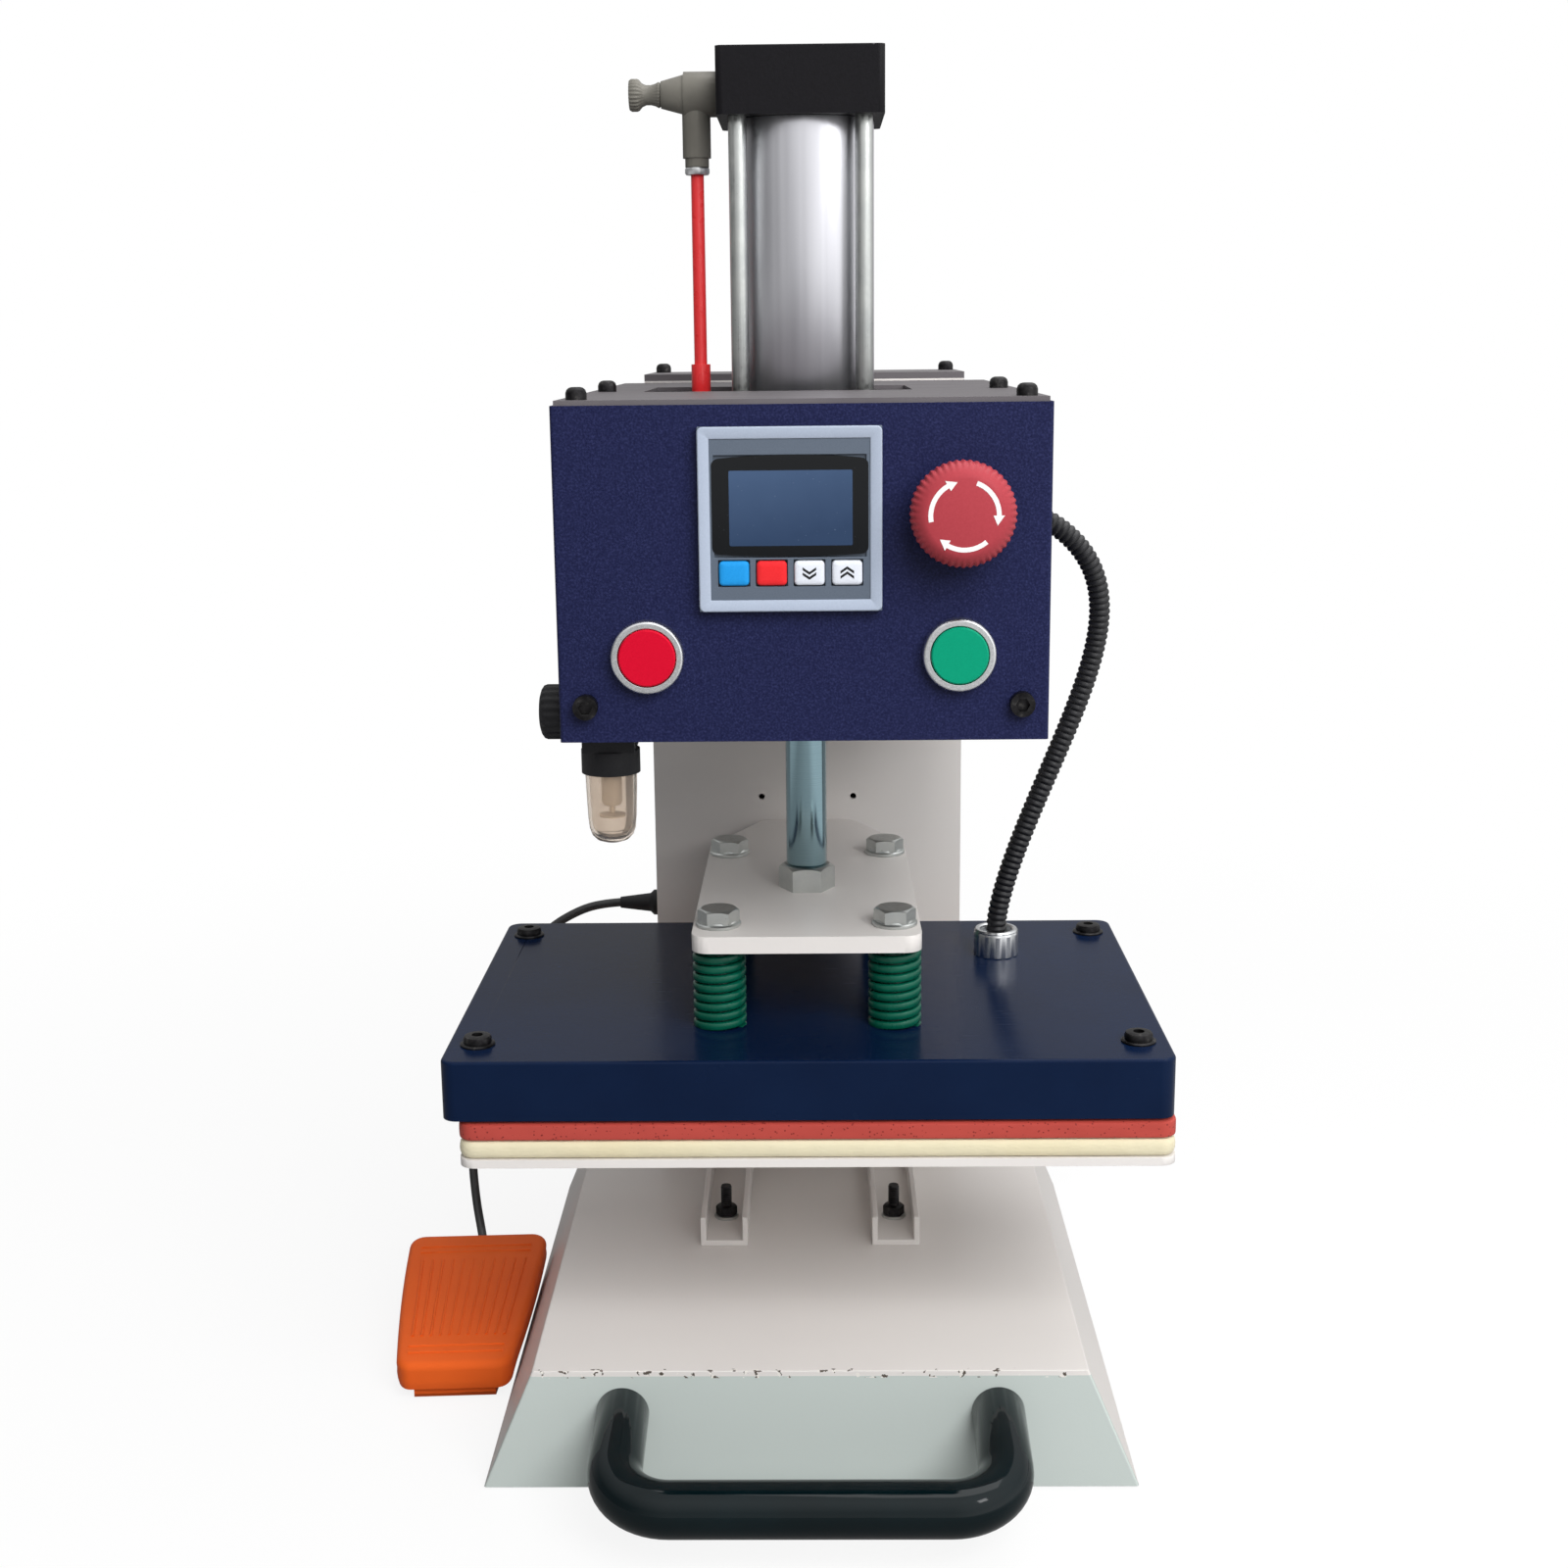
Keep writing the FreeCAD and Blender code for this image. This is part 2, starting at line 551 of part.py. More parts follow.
def column():
    body = doc.addObject("PartDesign::Body", "column")
    half = s.column_width / 2
    inner = half - s.column_wall
    profile = sketch_on(body, "column_section", "XY_Plane", s.base_height)
    rear = s.column_front + s.column_depth
    front = s.column_front
    outline(profile, [
        (-half, front), (half, front), (half, rear), (inner, rear),
        (inner, front + s.column_wall), (-inner, front + s.column_wall), (-inner, rear), (-half, rear)])
    pad(body, profile, s.column_top - s.base_height)
    top = sketch_on(body, "column_top", "XY_Plane", s.column_top - s.column_wall)
    outline(top, [(-half, front), (half, front), (half, rear), (-half, rear)])
    pad(body, top, s.column_wall)
    holes = sketch_on(body, "column_holes", "XZ_Plane", -front)
    for side in (-1, 1):
        ring(holes, side * s.column_screw_gap / 2, s.column_screw_height, s.column_hole)
    exit_hole = sketch_on(body, "column_cord_hole", "YZ_Plane", -half)
    ring(exit_hole, front + s.cord_exit_y, s.cord_exit_level, s.gland_thread + s.fit * 2)
    for profile in (holes, exit_hole):
        pierce = body.newObject("PartDesign::Pocket", profile.Name + "_pierce")
        pierce.Profile = profile
        bind(pierce, Length=s.column_wall * 3)
        pierce.Midplane = True
    node("column", body)
    panel = slab("back_panel", -half, half, rear, rear + s.column_wall, s.base_height, s.column_top)
    inlet_level = s.base_height + s.inlet_rise
    rim = s.inlet_flange
    mouth = box("inlet_mouth", s.inlet_width + s.fit * 2, s.column_wall * 3, s.inlet_height + s.fit * 2, 0, rear,
                inlet_level - s.fit)
    node("column_back_cover", cut("column_back_cover", panel, mouth))
    face = rear + s.column_wall
    flange = box("inlet_flange", s.inlet_width + rim * 2, s.column_wall, s.inlet_height + rim * 2, 0,
                 face + s.column_wall / 2, inlet_level - rim)
    well = box("inlet_body", s.inlet_width, s.inlet_depth, s.inlet_height, 0, face - s.inlet_depth / 2, inlet_level)
    socket = box("inlet_socket", s.inlet_width - rim * 1.5, s.inlet_socket, s.inlet_height - rim * 3, 0, face,
                 inlet_level + rim * 1.5)
    node("mains_inlet", cut("mains_inlet", fuse("inlet_shell", flange, well), socket))


def channel(name, side):
    # An upturned channel that lies on the base, open along its top
    x = side * s.channel_gap / 2
    outside = slab(name + "_outside", x - s.channel_width / 2, x + s.channel_width / 2,
                   s.channel_front, s.column_front, s.base_height, s.base_height + s.channel_height)
    hollow = s.channel_width / 2 - s.channel_wall
    inside = slab(name + "_inside", x - hollow, x + hollow, s.channel_front - 1, s.column_front + 1,
                  s.base_height + s.channel_wall, s.base_height + s.channel_height + 1)
    return cut(name, outside, inside)


def stand():
    pieces = []
    screws = []
    for side in (-1, 1):
        x = side * s.channel_gap / 2
        pieces.append(channel("foot_channel", side))
        pieces.append(slab("stand_post", x - s.channel_width / 2, x + s.channel_width / 2,
                           s.column_front - s.post_depth, s.column_front, s.base_height, table_low))
        spot = s.channel_front + s.stud_setback
        web = s.base_height + s.channel_wall
        stud = bar("stud", s.stud_size, s.stud_length, x, spot, web)
        washer = bar("washer", s.stud_washer, s.stud_washer_thick, x, spot, web)
        nut = hexagon("nut", s.stud_nut, s.stud_nut_height, x, spot, web + s.stud_washer_thick)
        screws.append(fuse("stand_stud", stud, washer, nut))
    table_half = s.channel_gap / 2 + s.channel_width / 2
    pieces.append(slab("stand_table", -table_half, table_half, -s.stand_reach, s.column_front, table_low, bed_low))
    node("platen_stand", fuse("platen_stand", *pieces))
    node("stand_bolts", group("stand_bolts", *screws))


def bed():
    y = -s.platen_centre
    def sheet_piece(label, thick, z):
        blank = box(label + "_blank", s.cover_width - s.bed_trim, s.cover_depth, thick, s.bed_shift, y, z)
        node(label, rounded(label, blank, s.cover_corner, upright))
    sheet_piece("lower_platen", s.bed_thick, bed_low)
    sheet_piece("lower_foam_pad", s.foam_thick, bed_low + s.bed_thick)
    sheet_piece("lower_silicone_pad", s.silicone_thick, bed_low + s.bed_thick + s.foam_thick)


def head():
    rear = s.column_front
    half = s.head_width / 2
    front = panel_y
    # Arm: a back plate on the column, two cheeks with turned-in tabs, and the cylinder deck
    cheek_front = front + s.head_wall
    pieces = [slab("arm_back", -cheek_out, cheek_out, rear - s.arm_wall, rear, s.head_bottom, head_top)]
    for side in (-1, 1):
        inner, outer = sorted((side * (cheek_out - s.arm_wall), side * cheek_out), key=number)
        pieces.append(slab("arm_cheek", inner, outer, cheek_front, rear, s.head_bottom, head_top))
        inner, outer = sorted((side * (cheek_out - s.arm_tab), side * cheek_out), key=number)
        pieces.append(slab("arm_tab", inner, outer, cheek_front, cheek_front + s.arm_wall, s.head_bottom,
                           s.head_bottom + s.arm_tab_height))
    pieces.append(slab("arm_deck", -cheek_out, cheek_out, -s.head_block, rear, s.deck_level, deck_top))
    weldment = fuse("arm_weldment", *pieces)
    rod_hole = bar("deck_hole", s.deck_hole, s.deck_thick * 3, 0, 0, s.deck_level - s.deck_thick)
    knob_hole = bar("arm_knob_hole", s.knob_neck + s.fit * 3, s.arm_wall * 4, -cheek_out - s.arm_wall, -s.filter_y,
                    knob_level, "+X")
    hose_hole = bar("arm_hose_hole", s.conduit_hole, s.arm_wall * 4, cheek_out - s.arm_wall * 2, s.hose_exit_y,
                    s.hose_exit_level, "+X")
    screw_holes = [bar("tab_hole", s.panel_screw, s.arm_wall * 3, side * panel_screw_x, cheek_front - 1, s.panel_screw_level, "+Y")
                   for side in (-1, 1)]
    node("head_arm", cut("head_arm", weldment, rod_hole, knob_hole, hose_hole, *screw_holes))
    # Cover: the front panel with its two sides, folded from one sheet
    shell = slab("cover_outside", -half, half, front, rear, s.head_bottom, head_top)
    inside = slab("cover_inside", -cheek_out, cheek_out, front + s.head_wall, rear + 1, s.head_bottom - 1, head_top + 1)
    tools = [inside]
    for x, level in ((panel_row, s.button_level), (-panel_row, s.button_level), (panel_row, s.estop_level)):
        tools.append(bar("panel_hole", s.panel_hole, 10, x, front - 5, level, "+Y"))
    opening = s.meter_case + s.fit * 2
    tools.append(box("meter_hole", opening, 10, opening, s.meter_x, front, s.meter_level - opening / 2))
    for side in (-1, 1):
        tools.append(bar("panel_screw_hole", s.panel_screw + s.fit, 10, side * panel_screw_x, front - 5, s.panel_screw_level, "+Y"))
    tools.append(bar("knob_hole", s.knob_neck + s.fit * 3, 10, -half - 5, -s.filter_y, knob_level, "+X"))
    tools.append(bar("hose_hole", s.conduit_hole, 10, half - 5, s.hose_exit_y, s.hose_exit_level, "+X"))
    folded = rounded("cover_folded", shell, s.head_wall, lambda edge: upright(edge) and edge.Vertexes[0].Y < 0)
    node("head_cover", cut("head_cover", folded, *tools))
    # Lid: a flat plate on the cheeks with a slot for the cylinder and the air tube
    lid = slab("lid_blank", -cheek_out, cheek_out, front + s.head_wall, rear, head_top, head_top + s.lid_thick)
    slot_half = s.head_block / 2 + s.lid_gap
    slot = slab("lid_slot", -s.tube_x - s.lid_gap * 4, slot_half + s.lid_gap, -slot_half, slot_half, head_top - 1,
                head_top + s.lid_thick + 1)
    node("head_lid", cut("head_lid", lid, slot))
    first = front + s.lid_screw_end
    last = rear + s.column_depth - s.column_lid_screw_back
    screws = []
    for side in (-1, 1):
        x = side * (cheek_out - s.lid_screw_side)
        for y in (first, first + s.lid_screw_pitch):
            screws.append(bar("lid_screw", s.lid_screw, s.lid_screw_height, x, y, head_top + s.lid_thick))
        x = side * (s.column_width / 2 - s.column_lid_screw_side)
        screws.append(bar("column_lid_screw", s.lid_screw, s.lid_screw_height, x, last, s.column_top))
    node("head_lid_screws", group("head_lid_screws", *screws))
    fronts = []
    for side in (-1, 1):
        x = side * panel_screw_x
        thread = bar("panel_thread", s.panel_screw, s.head_wall + s.arm_wall, x, front, s.panel_screw_level, "+Y")
        cap = bar("panel_cap", s.panel_screw * 2, s.panel_screw, x, front, s.panel_screw_level, "-Y")
        socket = hexagon("panel_socket", s.panel_screw, s.panel_screw, x, front - s.panel_screw / 2, s.panel_screw_level, "-Y")
        fronts.append(cut("panel_screw", fuse("panel_bolt", cap, thread), socket))
    node("head_cover_screws", group("head_cover_screws", *fronts))


def controller():
    front = panel_y
    face = front - s.meter_front
    half = s.meter_size / 2
    bezel = slab("meter_bezel", s.meter_x - half, s.meter_x + half, face, front, s.meter_level - half, s.meter_level + half)
    case_half = s.meter_case / 2
    case = slab("meter_case", s.meter_x - case_half, s.meter_x + case_half, front, front + s.meter_depth,
                s.meter_level - case_half, s.meter_level + case_half)
    recess = box("window_recess", s.window_width, s.pane_thick * 2, s.window_height, s.meter_x, face,
                 s.window_level - s.window_height / 2)
    tools = [recess]
    for place in range(4):
        x = s.meter_x + s.key_pitch * (place - 1.5)
        tools.append(slab("key_well", x - s.key_width / 2 - s.fit, x + s.key_width / 2 + s.fit, face - 1, face + s.key_well,
                          s.key_level - s.key_height / 2 - s.fit, s.key_level + s.key_height / 2 + s.fit))
    node("controller_case", cut("controller_case", fuse("meter_body", bezel, case), *tools))
    pane = slab("window_pane", s.meter_x - s.window_width / 2, s.meter_x + s.window_width / 2, face, face + s.pane_thick,
                s.window_level - s.window_height / 2, s.window_level + s.window_height / 2)
    node("controller_window", pane)
    for place, label in enumerate(("key_blue", "key_red", "key_down", "key_up")):
        x = s.meter_x + s.key_pitch * (place - 1.5)
        cap = slab(label + "_cap", x - s.key_width / 2, x + s.key_width / 2, face - s.key_stand, face + s.key_well - s.key_room,
                   s.key_level - s.key_height / 2, s.key_level + s.key_height / 2)
        node(label, rounded(label, cap, s.key_corner, along_y))


def along_y(edge):
    first, last = edge.Vertexes[0].Point, edge.Vertexes[-1].Point
    return abs(first.x - last.x) < 0.01 and abs(first.z - last.z) < 0.01 and abs(first.y - last.y) > 0.01


def buttons():
    # Heights along each button's axis count outwards from the panel
    barrel = s.panel_hole / 2 - s.fit / 2
    rim = s.button_bezel / 2
    cap = s.button_cap / 2
    stem = s.button_stem / 2
    depth, rise, seat, top = s.button_depth, s.button_rise, s.button_seat, s.button_top
    lift = seat + s.button_travel + s.fit
    for label, side in (("start", 1), ("stop", -1)):
        spot = (side * panel_row, panel_y, s.button_level, "-Y")
        bezel = [(stem + s.fit, seat), (cap + s.fit, seat), (cap + s.fit, rise), (rim - 0.8, rise), (rim, rise - 1),
                 (rim, 0), (barrel, 0), (barrel, -depth), (stem + s.fit, -depth)]
        node(label + "_bezel", turned(label + "_bezel", bezel, *spot))
        button = [(0, -depth + s.button_travel), (stem, -depth + s.button_travel), (stem, lift), (cap, lift), (cap, top - 0.5),
                  (cap - 0.6, top), (0, top)]
        node(label + "_button", turned(label + "_button", button, *spot))
    spot = (panel_row, panel_y, s.estop_level, "-Y")
    head = s.estop_size / 2
    shaft, gap = s.estop_shaft / 2, s.fit / 3
    collar_top, tall = s.estop_collar, s.estop_height
    press = s.estop_travel + 1
    under = collar_top + press
    collar = [(shaft + gap, -depth), (barrel, -depth), (barrel, 0), (rim, 0), (rim, collar_top - 1), (rim - 1, collar_top),
              (shaft + gap, collar_top)]
    node("estop_collar", turned("estop_collar", collar, *spot))
    socket = under + tall * 0.375
    plunger = [(0, -depth + press), (shaft, -depth + press), (shaft, socket), (0, socket)]
    node("estop_plunger", turned("estop_plunger", plunger, *spot))
    crown = [(0, socket + gap), (shaft + gap, socket + gap), (shaft + gap, under), (head * 0.8, under),
             (head, under + tall * 0.3), (head, under + tall * 0.7), (head * 0.9, under + tall * 0.9), (head * 0.6, under + tall),
             (0, under + tall)]
    node("estop_head", turned("estop_head", crown, *spot))
    blocks = []
    block, block_depth = s.contact_width, s.contact_depth
    for x, level in ((panel_row, s.button_level), (-panel_row, s.button_level), (panel_row, s.estop_level)):
        solid = box("contact_blank", block, block_depth, block, x, panel_y + depth + block_depth / 2, level - block / 2)
        bore = bar("contact_bore", s.estop_shaft + 1, s.contact_depth * 0.3, x, panel_y + depth - 1, level, "+Y")
        blocks.append(cut("contact_block", solid, bore))
    node("contact_blocks", group("contact_blocks", *blocks))


def cylinder():
    def end_cap(label, z, height, *extra):
        blank = box(label + "_blank", s.head_block, s.head_block, height, 0, 0, z)
        edges = rounded(label + "_edges", blank, s.cap_edge, upright)
        holes = [bar(label + "_rod_hole", s.tie_rod_size + 0.2, height + 2, x, y, z - 1)
                 for x, y in corners(s.tie_rod_x, s.tie_rod_x)]
        node(label, cut(label, edges, *holes, *extra))
    port = bar("rear_port", s.valve_stub + 0.2, s.stub_length * 1.5, -s.head_block / 2 - 1, 0, s.valve_level, "+X")
    gallery = bar("rear_gallery", s.tube_size, s.valve_level - barrel_top + 1, -s.head_block / 2 + s.stub_length + 1, 0, barrel_top - 1)
    end_cap("cylinder_rear_cap", barrel_top, s.rear_cap_height, port, gallery)
    gland_bore = bar("rod_bore", s.rod_size + 0.1, s.front_cap_height + 2, 0, 0, deck_top - 1)
    end_cap("cylinder_front_cap", deck_top, s.front_cap_height, gland_bore)
    outer, inner = s.barrel_bore / 2 + s.barrel_wall, s.barrel_bore / 2
    wall = [(inner, 0), (outer, 0), (outer, s.barrel_length), (inner, s.barrel_length)]
    node("cylinder_barrel", turned("cylinder_barrel", wall, 0, 0, barrel_low))
    rods = [bar("tie_rod", s.tie_rod_size, cap_top - deck_top, x, y, deck_top) for x, y in corners(s.tie_rod_x, s.tie_rod_x)]
    node("tie_rods", group("tie_rods", *rods))


def ram():
    piston_low = barrel_top - s.stroke - s.piston_height - 0.5
    skirt = s.barrel_bore / 2 - 0.15
    spigot = s.rod_thread / 2
    crown = [(spigot, 0), (skirt, 0), (skirt, s.piston_height * 0.4), (skirt - 3, s.piston_height * 0.4),
             (skirt - 3, s.piston_height * 0.6), (skirt, s.piston_height * 0.6), (skirt, s.piston_height), (spigot, s.piston_height)]
    node("piston", turned("piston", crown, 0, 0, piston_low))
    groove = s.piston_height * 0.2
    seal = [(skirt - 3, 0), (skirt + 0.1, 0), (skirt + 0.1, groove), (skirt - 3, groove)]
    node("piston_seal", turned("piston_seal", seal, 0, 0, piston_low + s.piston_height * 0.4))
    shoulder = s.float_thick + s.lock_nut_height
    seat = piston_low - float_low
    shaft = [(0, 0), (spigot, 0), (spigot, shoulder), (s.rod_size / 2 - 1, shoulder), (s.rod_size / 2, shoulder + 1),
             (s.rod_size / 2, seat), (spigot, seat), (spigot, seat + s.piston_height), (0, seat + s.piston_height)]
    node("piston_rod", turned("piston_rod", shaft, 0, 0, float_low))
    nut = hexagon("nut_blank", s.lock_nut_flats, s.lock_nut_height, 0, 0, float_top)
    thread = bar("nut_thread", s.rod_thread, s.lock_nut_height + 2, 0, 0, float_top - 1)
    node("rod_lock_nut", cut("rod_lock_nut", nut, thread))
    body = doc.addObject("PartDesign::Body", "floating_plate")
    shape = sketch_on(body, "floating_outline", "XY_Plane", float_low)
    tail = s.column_front - s.float_gap
    outline(shape, [
        (-s.float_width / 2, -s.float_front), (s.float_width / 2, -s.float_front), (s.float_waist / 2, s.float_shoulder),
        (s.float_tail / 2, tail), (-s.float_tail / 2, tail), (-s.float_waist / 2, s.float_shoulder)])
    blank = pad(body, shape, s.float_thick)
    doc.recompute()
    edges = ["Edge%d" % i for i, edge in enumerate(blank.Shape.Edges, start=1) if upright(edge)]
    soften = body.newObject("PartDesign::Fillet", "floating_corners")
    soften.Base = (blank, edges)
    bind(soften, Radius=s.float_corner)
    holes = sketch_on(body, "floating_holes", "XY_Plane", float_low)
    ring(holes, 0, 0, s.rod_thread)
    for x, y in corners(s.bolt_x, s.bolt_y):
        ring(holes, x, y, s.bolt_size + s.fit * 2)
    pocket(body, holes)
    node("floating_plate", body)


def spring(x, y):
    # A round wire on a helix between the cover and the floating plate, made of paired arcs a quarter turn long
    wire = s.spring_wire.value
    radius = s.spring_outer.value / 2 - wire / 2
    low = cover_top.value + wire / 2
    high = float_low.value - wire / 2
    turns = round((high - low) / (wire * 1.29))
    quarters = turns * 4
    climb = (high - low) / quarters
    slope = climb / (radius * math.pi / 2)
    middle = Vector(x, y, 0)

    def point(k):
        angle = k * math.pi / 2
        return middle + Vector(radius * math.cos(angle), radius * math.sin(angle), low + climb * k)

    def heading(k):
        angle = k * math.pi / 2
        return Vector(-math.sin(angle), math.cos(angle), slope).normalize()

    edges = []
    for k in range(quarters):
        edges += paired_arcs(point(k), heading(k), point(k + 1), heading(k + 1))
    path = Part.Wire(edges)
    section = Part.Wire(Part.makeCircle(wire / 2, point(0), heading(0)))
    coil = path.makePipeShell([section], True, False)
    spots = path.discretize(Number=quarters * 8 + 1)
    half_turn = 16
    gap = min((spots[j] - spots[i]).Length for i in range(len(spots)) for j in range(i + half_turn, len(spots))) - wire
    return coil, gap


def paired_arcs(start, leave, end, arrive):
    # Two arcs that join two points and keep the direction at each
    chord = end - start
    both = leave + arrive
    bend = 2 * (1 - leave.dot(arrive))
    reach = (math.sqrt(chord.dot(both) ** 2 + bend * chord.dot(chord)) - chord.dot(both)) / bend
    first = start + leave * reach
    last = end - arrive * reach
    join = (first + last) * 0.5
    return [round_arc(start, first, join), round_arc(join, last, end)]


def round_arc(start, corner, end):
    # The arc that leaves start towards a corner and reaches end from it
    half = (end - start).Length / 2
    middle = (start + end) * 0.5
    to_corner = corner - middle
    turn = math.pi - (start - corner).getAngle(end - corner)
    bulge = middle + to_corner.normalize() * (half * math.tan(turn / 4))
    return Part.Arc(start, bulge, end).toShape()


def platen():
    y = -s.platen_centre
    blank = box("cover_blank", s.cover_width, s.cover_depth, s.cover_height, 0, y, cover_low)
    sides = rounded("cover_sides", blank, s.cover_corner, upright)
    doc.recompute()
    crown = rounded("cover_crown", sides, s.cover_wall, lambda edge: min(v.Z for v in edge.Vertexes) > cover_top.value - 0.01)
    hollow_blank = box("cover_hollow_blank", s.cover_width - s.cover_wall * 2, s.cover_depth - s.cover_wall * 2,
                       s.cover_height - s.cover_wall + 1, 0, y, cover_low - 1)
    hollow = rounded("cover_hollow", hollow_blank, s.cover_corner - s.cover_wall, upright)
    screw_spots = [(x, y + along) for x, along in corners(s.cover_width / 2 - s.cover_screw_side, s.cover_depth / 2 - s.cover_screw_end)]
    bolt_spots = corners(s.bolt_x, s.bolt_y)
    tools = [bar("cover_bolt_hole", s.bolt_size + s.fit * 2, 6, bx, by, cover_top - 4) for bx, by in bolt_spots]
    tools += [bar("cover_screw_hole", s.cover_screw + s.fit, 6, sx, sy, cover_top - 4) for sx, sy in screw_spots]
    tools.append(bar("cover_hose_hole", s.conduit_hole, 6, s.hose_foot_x, s.hose_foot_y, cover_top - 4))
    node("platen_cover", cut("platen_cover", crown, hollow, *tools))

    width = s.cover_width - s.plate_margin * 2
    depth = s.cover_depth - s.plate_margin * 2
    inner_top = cover_top - s.cover_wall
    slab_blank = box("plate_blank", width, depth, s.plate_thick, 0, y, plate_low)
    slab_round = rounded("plate_round", slab_blank, s.cover_corner, upright)
    bosses = [bar("plate_boss", s.cover_screw * 2, inner_top - plate_top, sx, sy, plate_top) for sx, sy in screw_spots]
    tapped = [bar("plate_bolt_hole", s.bolt_size, s.bolt_depth + 1, bx, by, plate_top - s.bolt_depth) for bx, by in bolt_spots]
    tapped += [bar("plate_screw_hole", s.cover_screw, s.cover_screw_length + 1, sx, sy, inner_top - s.cover_screw_length) for sx, sy in screw_spots]
    node("heating_plate", cut("heating_plate", fuse("plate_body", slab_round, *bosses), *tapped))

    blanket = box("blanket", width - s.plate_margin, depth - s.plate_margin, inner_top - plate_top, 0, y, plate_top)
    clear = [bar("blanket_bolt_hole", s.bolt_size + 2, s.cover_height, bx, by, plate_top - 1) for bx, by in bolt_spots]
    clear += [bar("blanket_boss_hole", s.cover_screw * 2 + s.fit * 2, s.cover_height, sx, sy, plate_top - 1) for sx, sy in screw_spots]
    clear.append(bar("blanket_hose_hole", s.conduit_shell + 1, s.cover_height, s.hose_foot_x, s.hose_foot_y, plate_top - 1))
    node("heater_blanket", cut("heater_blanket", blanket, *clear))

    washer_thick, bolt_head = s.bolt_size * 0.2, s.bolt_size * 0.64
    bolts = []
    for bx, by in bolt_spots:
        washer = bar("bolt_washer", s.bolt_size * 2.1, washer_thick, bx, by, float_top)
        cap = hexagon("bolt_head", s.bolt_size * 1.7, bolt_head, bx, by, float_top + washer_thick)
        shank_low = plate_top - s.bolt_depth
        shank = bar("bolt_shank", s.bolt_size, float_top + washer_thick - shank_low, bx, by, shank_low)
        bolts.append(fuse("platen_bolt", washer, cap, shank))
    node("platen_bolts", group("platen_bolts", *bolts))

    screws = []
    for sx, sy in screw_spots:
        head_low = cover_top + s.cover_washer_thick
        shank_low = inner_top - s.cover_screw_length
        washer = bar("screw_washer", s.cover_screw_washer, s.cover_washer_thick, sx, sy, cover_top)
        cap = bar("screw_head", s.cover_screw_head, s.cover_screw_rise, sx, sy, head_low)
        shank = bar("screw_shank", s.cover_screw, head_low - shank_low, sx, sy, shank_low)
        socket = hexagon("screw_socket", s.cover_screw * 0.8, s.cover_screw, sx, sy, head_low + s.cover_screw_rise / 2)
        screws.append(cut("cover_screw", fuse("cover_screw_body", washer, cap, shank), socket))
    node("platen_cover_screws", group("platen_cover_screws", *screws))

    coils = [spring(number(bx), number(by)) for bx, by in bolt_spots]
    print("platen springs: least gap between turns %.2f mm" % min(gap for coil, gap in coils))
    springs = doc.addObject("Part::Feature", "platen_springs")
    springs.Shape = Part.makeCompound([coil for coil, gap in coils])
    node("platen_springs", springs)


def tilted(thing):
    # Turns a bar from upright to the tilt of the hose's upper gland
    thing.Placement = Placement(thing.Placement.Base, Rotation(Vector(0, 1, 0), 90 + s.hose_tilt.value))
    thing.setExpression("Placement.Rotation.Angle", "90 + " + s.hose_tilt.text)
    return thing


